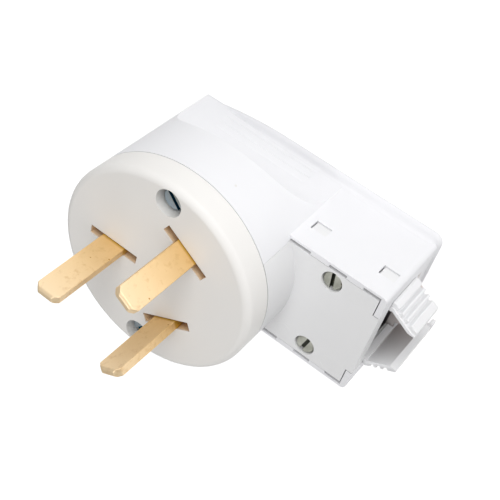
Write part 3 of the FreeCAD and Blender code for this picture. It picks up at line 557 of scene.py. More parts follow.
@dataclass(frozen=True)
class LevelTint:
    """A colour that comes in between two levels, kept within a reach or to marked faces."""

    start: float
    end: float
    colour: Triple
    reach: float = 100.0
    axis: Axis = Axis.Z
    marked: bool = False

    def lay(self, effects: Effects, tree: Tree, tone: Socket) -> Socket:
        """Lay the tint over a colour.

        Args:
            effects: The shared shader groups.
            tree: Node tree of the material.
            tone: Socket of the colour below.

        Returns:
            Socket of the tinted colour.
        """
        fade = effects.place(tree, effects.level_fade, {
            "From": self.start * MM, "To": self.end * MM, "Reach": self.reach * MM,
            "Along X": float(self.axis is Axis.X)})
        mask = fade.outputs["Mask"]
        if self.marked:
            marks = add_node(tree, "ShaderNodeAttribute", attribute_name=MARK)
            mask = maths(tree, "MULTIPLY", mask, marks.outputs["Fac"])
        return mix(tree, mask, tone, self.colour)


def new_material(name: str) -> tuple[bpy.types.Material, Tree, Node]:
    """Start a material.

    Args:
        name: Name of the material.

    Returns:
        The material, its node tree and its surface shader.
    """
    material = bpy.data.materials.new(name)
    material.use_nodes = True
    return material, material.node_tree, material.node_tree.nodes["Principled BSDF"]


@dataclass(frozen=True)
class Finish:
    """What every finish of the plug shares, and how it reaches the surface."""

    name: str
    colour: Triple
    _: KW_ONLY
    roughness: Span
    bump: float
    bump_depth: float
    tints: tuple[LevelTint, ...] = ()

    def tinted(self, effects: Effects, tree: Tree, tone: Socket) -> Socket:
        """Lay the tints over a colour, one after the other.

        Args:
            effects: The shared shader groups.
            tree: Node tree of the material.
            tone: Socket of the colour below.

        Returns:
            Socket of the tinted colour.
        """
        for tint in self.tints:
            tone = tint.lay(effects, tree, tone)
        return tone

    def surface(self, tree: Tree, shader: Node, tone: Socket, gloss: Socket, height: Socket) -> None:
        """Feed colour, roughness and bumps into the surface shader.

        Args:
            tree: Node tree of the material.
            shader: The surface shader.
            tone: Socket of the colour.
            gloss: Socket of a value from 0 to 1 that drives the roughness.
            height: Socket of the bumps' height.
        """
        bump = add_node(tree, "ShaderNodeBump", {"Height": height, "Strength": self.bump,
                                                 "Distance": self.bump_depth * MM})
        tree.links.new(tone, shader.inputs["Base Color"])
        tree.links.new(spread(tree, gloss, *self.roughness), shader.inputs["Roughness"])
        tree.links.new(bump.outputs["Normal"], shader.inputs["Normal"])


@dataclass(frozen=True)
class MouldedPlastic(Finish):
    """Moulded thermoplastic with a fine grain, slight tone changes and a little dust."""

    _: KW_ONLY
    roughness: Span = (0.42, 0.52)
    bump: float = 0.08
    bump_depth: float = 0.05
    drift: float = 0.03
    dust: Triple = (0.79, 0.78, 0.76)
    dust_share: float = 0.004
    dust_scale: float = 420.0
    dust_size: float = 0.16
    refraction: float = 1.52
    gloss: float = 0.3

    def build(self, effects: Effects) -> bpy.types.Material:
        """Build the material.

        Args:
            effects: The shared shader groups.

        Returns:
            The material.
        """
        material, tree, shader = new_material(self.name)
        grain = effects.place(tree, effects.grain).outputs
        specks = effects.place(tree, effects.specks, {"Scale": self.dust_scale, "Share": self.dust_share,
                                                      "Size": self.dust_size})
        dark = [channel * (1.0 - self.drift) for channel in self.colour]
        tone = self.tinted(effects, tree, mix(tree, grain["Tone"], dark, self.colour))
        tone = mix(tree, specks.outputs["Mask"], tone, self.dust)
        self.surface(tree, shader, tone, grain["Tone"], grain["Height"])
        shader.inputs["IOR"].default_value = self.refraction
        shader.inputs["Specular IOR Level"].default_value = self.gloss
        return material


@dataclass(frozen=True)
class DrawnMetal(Finish):
    """Drawn or turned metal with fine lines, pits and stains, bare or partly under a dull film."""

    dark: Triple
    _: KW_ONLY
    roughness: Span = (0.22, 0.42)
    bump: float = 0.25
    bump_depth: float = 0.03
    lines: float = 2500.0
    draw: float = 0.02
    grain: float = 3800.0
    wave: float = 220.0
    pits: float = 0.05
    pit_scale: float = 800.0
    pit_size: float = 0.2
    pit_colour: Triple = (0.32, 0.2, 0.09)
    stain: float = 0.15
    bare: float = 1.0

    def build(self, effects: Effects) -> bpy.types.Material:
        """Build the material.

        Args:
            effects: The shared shader groups.

        Returns:
            The material.
        """
        material, tree, shader = new_material(self.name)
        drawn = effects.place(tree, effects.brushing, {"Scale": self.lines, "Draw": self.draw})
        grain = effects.place(tree, effects.grain, {"Grain": self.grain, "Wave": self.wave})
        specks = effects.place(tree, effects.specks, {"Scale": self.pit_scale, "Share": self.pits,
                                                      "Size": self.pit_size})
        stains = effects.place(tree, effects.stains, {"Strength": self.stain})
        tone = self.tinted(effects, tree, mix(tree, grain.outputs["Tone"], self.dark, self.colour))
        for spots in (stains, specks):
            tone = mix(tree, spots.outputs["Mask"], tone, self.pit_colour)
        self.surface(tree, shader, tone, drawn.outputs["Line"], drawn.outputs["Line"])
        shader.inputs["Metallic"].default_value = self.bare
        return material


@dataclass(frozen=True)
class Laminate(Finish):
    """Brown insulating board with fibres and a dull cut face."""

    dark: Triple
    _: KW_ONLY
    roughness: Span = (0.55, 0.75)
    bump: float = 0.3
    bump_depth: float = 0.06
    grain: float = 1800.0
    wave: float = 500.0

    def build(self, effects: Effects) -> bpy.types.Material:
        """Build the material.

        Args:
            effects: The shared shader groups.

        Returns:
            The material.
        """
        material, tree, shader = new_material(self.name)
        grain = effects.place(tree, effects.grain, {"Grain": self.grain, "Wave": self.wave}).outputs
        tone = self.tinted(effects, tree, mix(tree, grain["Tone"], self.dark, self.colour))
        self.surface(tree, shader, tone, grain["Tone"], grain["Height"])
        return material


@dataclass(frozen=True)
class StageWhite:
    """White that takes a shadow but looks white to the camera and in reflections."""

    name: str
    colour: Triple
    roughness: float = 0.9
    glow: float = 0.56

    def build(self) -> bpy.types.Material:
        """Build the material.

        Returns:
            The material.
        """
        material, tree, shader = new_material(self.name)
        path = add_node(tree, "ShaderNodeLightPath").outputs
        seen = maths(tree, "MAXIMUM", path["Is Camera Ray"], path["Is Glossy Ray"])
        seen = maths(tree, "MAXIMUM", seen, path["Is Transmission Ray"])
        shader.inputs["Base Color"].default_value = (*self.colour, 1.0)
        shader.inputs["Roughness"].default_value = self.roughness
        shader.inputs["Emission Color"].default_value = (1.0, 1.0, 1.0, 1.0)
        tree.links.new(maths(tree, "MULTIPLY", seen, self.glow), shader.inputs["Emission Strength"])
        return material


def slot_tint(colour: Triple) -> LevelTint:
    """A painted shade over all of a screw's marked slot faces, because every screw lies below its levels."""
    return LevelTint(20.0, 15.0, colour, marked=True)


class Finishes:
    """Every finish of the plug, by the record's material slots, and one more for the saddle: a darker copy of
    the grey plastic that paints in its shade.
    """

    def __init__(self, effects: Effects) -> None:
        """Build one material for each.

        Args:
            effects: The shared shader groups.
        """
        # Painted shade: the jaws and the saddle are painted near-black where they lie back inside the arm,
        # past x = 53.0 mm.
        painted_shade_in_arm = LevelTint(53.3, 53.0, (0.05, 0.045, 0.045), axis=Axis.X)
        finishes = (
            MouldedPlastic("ivory_plastic", (0.885, 0.868, 0.843), drift=0.015, bump=0.05,
                           # Painted light in the blade slots: a warm tan near their mouths for light thrown
                           # back from the brass, then a painted brown shade deeper down.
                           tints=(LevelTint(-0.1, -0.5, (0.95, 0.74, 0.50), reach=SLOTS_REACH),
                                  LevelTint(-1.5, -5.0, (0.55, 0.30, 0.12), reach=SLOTS_REACH))),
            MouldedPlastic("white_plastic", (0.88, 0.88, 0.90), roughness=(0.40, 0.50),
                           # Painted shade: grey along the lowest 0.3 mm of the back lip's rim, where it turns
                           # under.
                           tints=(LevelTint(-51.0, -51.3, (0.60, 0.60, 0.63)),)),
            MouldedPlastic("grey_plastic", (0.85, 0.85, 0.855), bump=0.12),
            MouldedPlastic("jaw_plastic", (0.86, 0.86, 0.87), roughness=(0.40, 0.50),
                           # Painted shade on the wings' marked inner faces, darker towards the back.
                           tints=(painted_shade_in_arm, LevelTint(-28.5, -45.0, (0.36, 0.32, 0.31), marked=True))),
            # Painted shade: a darker, browner copy of the grey plastic for the saddle deep in the outlet.
            MouldedPlastic("saddle_plastic", (0.72, 0.67, 0.65), tints=(painted_shade_in_arm,)),
            Laminate("brown_laminate", (0.27, 0.17, 0.10), (0.15, 0.09, 0.05)),
            DrawnMetal("blade_brass", (0.88, 0.59, 0.265), (0.77, 0.485, 0.18), roughness=(0.36, 0.5),
                       pits=0.03, pit_colour=(0.56, 0.30, 0.08), stain=0.3, bare=0.45,
                       # Painted light: the brass is painted paler towards the tip, for the brighter
                       # reflection there.
                       tints=(LevelTint(0.0, 34.0, (0.94, 0.77, 0.53)),
                              LevelTint(0.9, 0.2, (0.62, 0.36, 0.05)))),
            DrawnMetal("terminal_brass", (0.72, 0.52, 0.26), (0.58, 0.40, 0.18)),
            DrawnMetal("zinc_steel", (0.60, 0.67, 0.72), (0.32, 0.40, 0.46), roughness=(0.25, 0.5),
                       draw=1.0, pit_colour=(0.12, 0.14, 0.14),
                       tints=(slot_tint((0.0, 0.13, 0.22)),)),
            DrawnMetal("nickel_steel", (0.82, 0.82, 0.74), (0.26, 0.27, 0.21), roughness=(0.25, 0.5),
                       draw=1.0, pit_colour=(0.2, 0.18, 0.12), bare=0.6,
                       tints=(slot_tint((0.05, 0.055, 0.04)),)),
            DrawnMetal("rivet_metal", (0.72, 0.72, 0.73), (0.58, 0.58, 0.6), draw=1.0),
        )
        self.materials = {finish.name: finish.build(effects) for finish in finishes}

    def dress(self, piece: Piece, slot: str) -> None:
        """Give a piece the material of a slot as its only one."""
        piece.data.materials.clear()
        piece.data.materials.append(self.materials[slot])

    def dress_node(self, node: str, slot: str) -> None:
        """Give a CAD node a finished material in each of its material slots."""
        for place in frame["nodes"][node].material_slots:
            place.material = self.materials[slot]


# Sub-assemblies

@dataclass(frozen=True)
class BladePlace:
    """Where a blade stands, how far it is turned about Z in degrees, and the level of its tip."""

    name: str
    x: float
    y: float
    turn: float
    tip: float


@dataclass
class Assembly:
    """What every sub-assembly shares: main sizes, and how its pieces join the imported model.

    A cutter reaches past a piece by `over`, and a part that is joined reaches into it by `bite`.
    """

    finishes: Finishes
    radius: float = 31.0
    over: float = 1.0
    bite: float = 0.5
    base_screw: float = 25.4
    lid_screw: Point = (40.0, 13.2)
    pivot: Point = (50.0, 10.35)
    pivot_bore: float = 1.16
    blades: tuple[BladePlace, ...] = (BladePlace("earth", -13.45, 0.0, 0.0, 26.4),
                                      BladePlace("live", 7.95, 13.77, -30.0, 24.0),
                                      BladePlace("neutral", 7.95, -13.77, 30.0, 24.0))

    def hand_over(self, piece: Piece, node: str, slot: str, body: str = "root") -> Piece:
        """Dress a piece and let it stand for a CAD node.

        Args:
            piece: The finished piece.
            node: The CAD node that it replaces.
            slot: The record's material slot.
            body: The CAD body that it rides on.

        Returns:
            The same piece.
        """
        apply_modifier(piece, "WEIGHTED_NORMAL", keep_sharp=True)
        self.finishes.dress(piece, slot)
        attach(piece, body)
        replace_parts(piece, node)
        LOG.info("%s stands for %s: %d faces", piece.name, node, len(piece.data.polygons))
        return piece


@dataclass
class PinBase(Assembly):
    """Ivory disc with blade slots, deep screw holes and a rounded front edge."""

    depth: float = 8.7
    edge: float = 2.2
    back_edge: float = 0.25
    web: float = 5.5
    recess: float = 20.15
    slot_long: float = 16.0
    slot_wide: float = 2.9
    bore: float = 3.95
    seat: float = 6.2
    through: float = 2.3
    mouth_edge: float = 0.25
    rim_margin: float = 0.2

    def build(self) -> None:
        """Model the disc."""
        base = prism("pin_base_moulding", ring(self.radius, steps=ROUND_STEPS), -self.depth, 0.0)
        bevel_where(base, self.edge, at_level(0.0), segments=8)
        bevel_where(base, self.back_edge, at_level(-self.depth), segments=2)
        low = -self.depth - self.over
        carve(base, prism("recess", ring(self.recess, steps=ROUND_STEPS), low, -self.web))
        outline = band(-self.slot_long / 2, self.slot_long / 2, self.slot_wide / 2)
        for blade in self.blades:
            slot = prism("slot", outline, -self.web - self.over, self.over)
            carve(base, settle(slot, blade.x, blade.y, blade.turn))
        for side in Side:
            centre = side.place(0.0, self.base_screw)
            carve(base, prism("bore", ring(self.bore, centre), -self.seat, self.over),
                  prism("through", ring(self.through, centre), low, -self.seat + self.over))
        bevel_where(base, self.mouth_edge, self.is_mouth, segments=2)
        self.hand_over(soften(base), "pin_base", "ivory_plastic")

    def is_mouth(self, a: Vector, b: Vector) -> bool:
        """Whether an edge lies round a hole in the flat face."""
        inside = max(a.xy.length, b.xy.length) < self.radius - self.edge - self.rim_margin
        return at_level(0.0)(a, b) and inside and (a - b).length > NEAR / 10


@dataclass
class Blades(Assembly):
    """Three flat brass pins with cut corners and bevelled tips."""

    width: float = 7.6
    thick: float = 2.5
    corner: float = 1.6
    bevel: float = 0.6
    edge: float = 0.32
    foot: float = -13.0

    def build(self) -> None:
        """Model each blade at its place."""
        half = self.width / 2
        for blade in self.blades:
            tip, shoulder, at_tip = blade.tip, blade.tip - self.corner, at_level(blade.tip)
            outline = [(-half, self.foot), (half, self.foot), (half, shoulder), (half - self.corner, tip),
                       (-half + self.corner, tip), (-half, shoulder)]
            bar = prism(f"{blade.name}_blade_bar", outline, -self.thick / 2, self.thick / 2, Axis.Y)
            bevel_where(bar, self.bevel, lambda a, b: at_tip(a, b) and abs(a.y - b.y) < NEAR)
            soften(bar, self.edge, segments=4, angle=20.0)
            settle(bar, blade.x, blade.y, blade.turn)
            self.hand_over(bar, f"{blade.name}_blade", "blade_brass")


@dataclass
class RearCover(Assembly):
    """White shell: round body with finger scoops and grip ribs, box arm and flared back lip."""

    wall: float = 2.2
    floor_wall: float = 3.0
    edge: float = 0.28
    parting: float = -8.7
    parting_gap: float = 0.08
    back: float = -51.4
    arm_front: float = -21.5
    arm_half: float = 18.7
    arm_end: float = 55.2
    arm_corner: float = 1.5
    cavity_corner: float = 0.3
    waist: float = 18.85
    scoop: float = 19.9
    scoop_level: float = -42.8
    scoop_past: float = 3.0
    scoop_steps: int = 32
    scoop_edge: float = 0.8
    scoop_slack: float = 0.05
    lip_half: float = 21.2
    lip_end: float = 52.7
    lip_corner: float = 3.1
    lip_straight: float = 4.3
    lip_sweep: float = 120.0
    lip_turn: float = 11.9
    lip_steps: int = 8
    lip_rim: float = 0.3
    lip_edge: float = 0.14
    lip_flare: tuple[Point, ...] = ((0.2, 0.45), (0.35, 0.35), (0.5, 0.25), (0.55, 0.15), (0.4, 0.25),
                                    (0.3, 0.5), (0.15, 0.6), (0.1, 0.6))
    rib_levels: tuple[float, ...] = (-41.5, -44.4, -47.5)
    rib_wide: float = 1.1
    rib_ends: Span = (-15.0, 16.2)
    rib_proud: float = 0.12
    rib_round: float = 0.9
    boss: float = 4.0
    boss_deep: float = 16.3
    insert: float = 3.0
    insert_deep: float = 10.3
    point: float = 2.3
    point_deep: float = 15.3
    seat_start: float = 25.45
    seat_half: float = 18.0
    seat_deep: float = 2.2
    end_wall: float = 1.7
    tab_half: float = 17.08
    tabs: tuple[Span, ...] = ((31.9, 37.7), (43.1, 48.2))
    wall_gap: Span = (15.5, 31.6)
    wall_gap_half: float = 17.45
    outlet: Span = (52.0, 57.0)
    outlet_half: float = 11.7
    outlet_floor: float = -45.4
    windows: tuple[float, ...] = (27.0, 48.3)
    window_long: float = 4.8
    window_levels: Span = (-32.05, -28.4)

    def envelope(self, name: str, inset: float, back: float, top: float, arm_top: float) -> Piece:
        """Round body with its scoops and the box arm, moved inwards by a wall's thickness.

        Args:
            name: Name of the new piece.
            inset: How far the sides lie inside the outer ones.
            back: Lowest level.
            top: Highest level of the round body.
            arm_top: Highest level of the arm.

        Returns:
            The new piece.
        """
        body = prism(name, ring(self.radius - inset, steps=ROUND_STEPS), back, top)
        bend, reach, low = self.scoop + inset, self.radius + self.scoop_past, back - 2 * self.over
        centre = (self.waist + self.scoop, self.scoop_level)
        last = math.degrees(math.acos((reach - centre[0]) / bend))
        profile = arc(centre, bend, 180.0, last, self.scoop_steps) + [(reach, low), (self.waist - inset, low)]
        for side in Side:
            outline = [(y * side.value, z) for y, z in profile]
            carve(body, prism("scoop", outline, -self.radius - self.over, self.radius + self.over, Axis.X))
        corner = self.cavity_corner
        if inset == 0.0:
            bevel_where(body, self.scoop_edge, self.is_scoop_edge, segments=3)
            corner = self.arm_corner
        half, end = self.arm_half - inset, self.arm_end - inset
        outline = [(0.0, -half)] + arc((end - corner, -half + corner), corner, -90.0, 0.0, CORNER_STEPS)
        outline += arc((end - corner, half - corner), corner, 0.0, 90.0, CORNER_STEPS) + [(0.0, half)]
        return join(body, prism("arm", outline, back, arm_top))

    def is_scoop_edge(self, a: Vector, b: Vector) -> bool:
        """Whether an edge lies where a scoop meets the round body.

        Args:
            a: One end of the edge, in millimetres.
            b: Its other end.

        Returns:
            True if both ends lie on the round body and on a scoop's bend.
        """
        centre = self.waist + self.scoop
        for spot in (a, b):
            off_round = abs(spot.xy.length - self.radius)
            off_scoop = abs(math.hypot(abs(spot.y) - centre, spot.z - self.scoop_level) - self.scoop)
            if max(off_round, off_scoop) >= self.scoop_slack or spot.z <= self.scoop_level:
                return False
        return True

    def lip(self) -> Piece:
        """Flared plate round the back of the arm.

        Returns:
            The plate.
        """
        sweep, corner, half, steps = self.lip_sweep, self.lip_corner, self.lip_half, self.lip_steps
        outline = arc((self.lip_straight, -half + sweep), sweep, -90.0 - self.lip_turn, -90.0, steps)
        outline += arc((self.lip_end, -half + corner), corner, -90.0, 0.0, steps)
        outline += arc((self.lip_end, half - corner), corner, 0.0, 90.0, steps)
        outline += arc((self.lip_straight, half - sweep), sweep, 90.0, 90.0 + self.lip_turn, steps)
        plate = prism("lip", outline, self.back, self.back + self.lip_rim)
        pick_none(plate, "FACE")
        for face in plate.data.polygons:
            face.select = face.normal.z > UPWARD
        bpy.ops.object.mode_set(mode="EDIT")
        for step, rise in self.lip_flare:
            bpy.ops.mesh.inset(thickness=step * MM)
            bpy.ops.transform.translate(value=(0.0, 0.0, rise * MM))
        bpy.ops.object.mode_set(mode="OBJECT")
        return bevel_where(plate, self.lip_edge, at_level(self.back), segments=2)

    def grip_ribs(self) -> list[Piece]:
        """Wide, shallow ribs along both sides of the waist.

        Returns:
            The ribs.
        """
        ribs = []
        for side in Side:
            levels = side.span(self.waist - self.bite, self.waist + self.rib_proud)
            for top in self.rib_levels:
                rib = prism("rib", rectangle(*self.rib_ends, top - self.rib_wide, top), *levels, Axis.Y)
                ribs.append(soften(rib, self.rib_proud * self.rib_round, segments=3))
        return ribs

    def build(self) -> None:
        """Model the shell."""
        cover = self.envelope("rear_cover_shell", 0.0, self.back, self.parting - self.parting_gap,
                              self.arm_front)
        soften(cover, self.edge, angle=32.0)
        join(cover, self.lip(), *self.grip_ribs())
        carve(cover, self.envelope("cavity", self.wall, self.back + self.floor_wall,
                                   self.parting + self.over, self.arm_front + self.over))
        self.open_arm(cover)
        top = self.parting
        for side in Side:
            centre = side.place(0.0, self.base_screw)
            boss = prism("boss", ring(self.boss, centre), top - self.boss_deep, top)
            carve(boss, prism("bore", ring(self.insert, centre), top - self.insert_deep, top + self.over),
                  prism("tip", ring(self.point, centre), top - self.point_deep, top))
            join(cover, boss)
        self.hand_over(soften(cover), "rear_cover", "white_plastic")

    def seat_outline(self) -> list[Point]:
        """Outline of the lid's seat, drawn in where the cover's tabs meet the lid.

        Returns:
            The closed outline.
        """
        wide, narrow = self.seat_half, self.tab_half
        edge = [(self.seat_start, wide)]
        for low, high in self.tabs:
            edge += [(low, wide), (low, narrow), (high, narrow), (high, wide)]
        edge.append((self.arm_end - self.end_wall, wide))
        return closed(edge)

    def open_arm(self, cover: Piece) -> None:
        """Cut the lid's seat, the gap for its round wall, the cord outlet and the hook windows.

        Args:
            cover: The cover to cut.
        """
        top, seat = self.arm_front + self.over, self.arm_front - self.seat_deep
        carve(cover, prism("lid_seat", self.seat_outline(), seat, top),
              prism("wall_gap", band(*self.wall_gap, self.wall_gap_half), seat, self.parting + self.over),
              prism("outlet", band(*self.outlet, self.outlet_half), self.outlet_floor, top))
        side = self.arm_half + self.over
        for start in self.windows:
            window = rectangle(start, start + self.window_long, *self.window_levels)
            carve(cover, prism("window", window, -side, side, Axis.Y))


@dataclass
class CordLid(Assembly):
    """Grey lid of the arm with the wall part that closes the round body."""

    front: float = -21.5
    seat: float = -23.7
    start: float = 25.6
    end: float = 53.2
    half: float = 16.95
    edge: float = 0.14
    wall_top: float = -8.85
    wall_turn: float = 33.93
    wall_inner: float = 28.8
    wall_inner_turn: float = 36.92
    wall_steps: int = 48
    flange: Span = (53.0, 55.2)
    flange_root: Span = (52.0, 54.0)
    flange_half: float = 11.4
    flange_low: float = -27.3
    grip: Span = (38.0, 42.0)
    grip_half: float = 9.5
    grip_low: float = -27.0
    pad: Span = (36.5, 43.5)
    pad_across: Span = (10.0, 16.2)
    pad_deep: float = 2.8
    bearing: float = 2.2
    bearing_levels: Span = (-28.0, -24.8)
    bore: float = 3.1
    bore_deep: float = 2.3
    hole: float = 1.56
    hooks: tuple[float, ...] = (27.45, 48.75)
    hook_long: float = 4.3
    tongue: Span = (15.1, 16.35)
    barb: Span = (18.25, 18.55)
    barb_levels: Span = (-31.95, -28.55)
    marks: tuple[Point, ...] = ((32.7, 13.1), (47.9, 13.4))
    mark_radii: Span = (2.3, 2.42)
    mark_deep: float = 0.03
    mark_past: float = 0.2

    def build(self) -> None:
        """Model the lid."""
        lid = prism("cord_lid_moulding", band(self.start, self.end, self.half), self.seat, self.front)
        wall = arc(CENTRE, self.radius, -self.wall_turn, self.wall_turn, self.wall_steps)
        wall += arc(CENTRE, self.wall_inner, self.wall_inner_turn, -self.wall_inner_turn, self.wall_steps)
        top = self.seat + self.bite
        join(lid, prism("round_wall", wall, self.seat + SHY, self.wall_top),
             prism("flange", band(*self.flange, self.flange_half), self.flange_low, self.front),
             prism("flange_root", band(*self.flange_root, self.flange_half), self.seat, self.front - SHY),
             prism("grip_rib", band(*self.grip, self.grip_half), self.grip_low, top))
        for side in Side:
            pad = rectangle(*self.pad, *side.span(*self.pad_across))
            join(lid, prism("pad", pad, self.seat - self.pad_deep, top),
                 prism("bearing", ring(self.bearing, side.place(*self.pivot)), self.grip_low, top))
            for start in self.hooks:
                self.add_hook(lid, start, side)
        soften(lid, self.edge, angle=40.0)
        for side in Side:
            self.drill(lid, side)
        self.hand_over(soften(lid), "cord_lid", "grey_plastic")

    def add_hook(self, lid: Piece, start: float, side: Side) -> None:
        """Join one snap hook to the lid: a tongue down the wall and a barb that fills its window.

        Args:
            lid: The lid.
            start: Where the hook starts along the arm.
            side: The side that it stands on.
        """
        (inner, outer), (tip, shoulder), (low, high) = self.tongue, self.barb, self.barb_levels
        top = self.seat + self.bite
        outline = [(inner, low), (tip, low), (shoulder, high), (outer, high), (outer, top), (inner, top)]
        hook = [(y * side.value, z) for y, z in outline]
        join(lid, prism("hook", hook, start, start + self.hook_long, Axis.X))

    def drill(self, lid: Piece, side: Side) -> None:
        """Cut one side's screw hole, bearing hole and ring marks.

        Args:
            lid: The lid.
            side: The side to cut.
        """
        screw, pivot, front = side.place(*self.lid_screw), side.place(*self.pivot), self.front
        bottom = self.seat - self.pad_deep - self.over
        carve(lid, prism("bore", ring(self.bore, screw), front - self.bore_deep, front + self.over),
              prism("hole", ring(self.hole, screw), bottom, front),
              prism("bearing_hole", ring(self.pivot_bore, pivot), *self.bearing_levels))
        inner, outer = self.mark_radii
        for x, y in self.marks:
            mark = side.place(x, y)
            groove = prism("mark", ring(outer, mark), front - self.mark_deep, front + self.mark_past)
            core = prism("core", ring(inner, mark), front - self.over, front + self.over)
            carve(lid, carve(groove, core))


@dataclass(frozen=True)
class ScrewSizes:
    """A screw's sizes: the radius and levels of its head, and the radius and end of its shank."""

    head: float
    top: float
    seat: float
    shank: float
    point: float


@dataclass
class SlottedScrews(Assembly):
    """Slotted screws of the base and the lid, with the base screws' washers."""

    base: ScrewSizes = ScrewSizes(head=3.2, top=-2.3, seat=-5.4, shank=2.0, point=-18.9)
    lid: ScrewSizes = ScrewSizes(head=2.75, top=-21.9, seat=-23.8, shank=1.5, point=-48.0)
    turns: tuple[tuple[Side, float, float], ...] = ((Side.UPPER, -43.0, 98.0), (Side.LOWER, 50.0, 76.0))
    head_edge: float = 0.5
    point_cut: float = 0.4
    slot_wide: float = 1.05
    slot_deep: float = 1.2
    slot_edge: float = 0.08
    mark_slack: float = 0.03
    washer: float = 3.6
    washer_bore: float = 2.06
    washer_levels: Span = (-6.2, -5.4)
    washer_edge: float = 0.12

    def add_screw(self, node: str, slot: str, sizes: ScrewSizes, place: Point, turn: float) -> None:
        """Model one screw and let it stand for its node.

        Args:
            node: The CAD node and body of the screw.
            slot: The record's material slot.
            sizes: Sizes of the screw.
            place: Where it stands.
            turn: Angle of its slot in degrees.
        """
        screw = prism(f"{node}_bolt", ring(sizes.head), sizes.seat, sizes.top)
        bevel_where(screw, self.head_edge, at_level(sizes.top), segments=4)
        shank = prism("shank", ring(sizes.shank, steps=SHANK_STEPS), sizes.point, sizes.seat + self.bite)
        join(screw, bevel_where(shank, self.point_cut, at_level(sizes.point)))
        half, floor, reach = self.slot_wide / 2, sizes.top - self.slot_deep, sizes.head + self.over
        carve(screw, prism("slot", band(-reach, reach, half), floor, sizes.top + self.over))
        soften(screw, self.slot_edge, angle=45.0)
        # Mark the faces of the slot, which take a painted shade.
        slack = self.mark_slack
        mark_faces(screw, lambda spot, normal: abs(spot.y) < half + slack
                   and floor - slack < spot.z < sizes.top - 3 * slack)
        self.hand_over(settle(screw, *place, turn), node, slot, node)

    def add_washer(self, node: str, place: Point) -> None:
        """Model one washer and let it stand for its node.

        Args:
            node: The CAD node and body of the washer.
            place: Where it lies.
        """
        low, high = self.washer_levels
        washer = prism(f"{node}_ring", ring(self.washer), low, high)
        carve(washer, prism("hole", ring(self.washer_bore), low - self.over, high + self.over))
        self.hand_over(settle(soften(washer, self.washer_edge), *place), node, "zinc_steel", node)

    def build(self) -> None:
        """Model every screw that shows, and the washers."""
        for side, base_turn, lid_turn in self.turns:
            place = side.place(0.0, self.base_screw)
            self.add_screw(f"base_screw_{side.label}", "zinc_steel", self.base, place, base_turn)
            self.add_washer(f"base_washer_{side.label}", place)
            self.add_screw(f"lid_screw_{side.label}", "nickel_steel", self.lid,
                           side.place(*self.lid_screw), lid_turn)


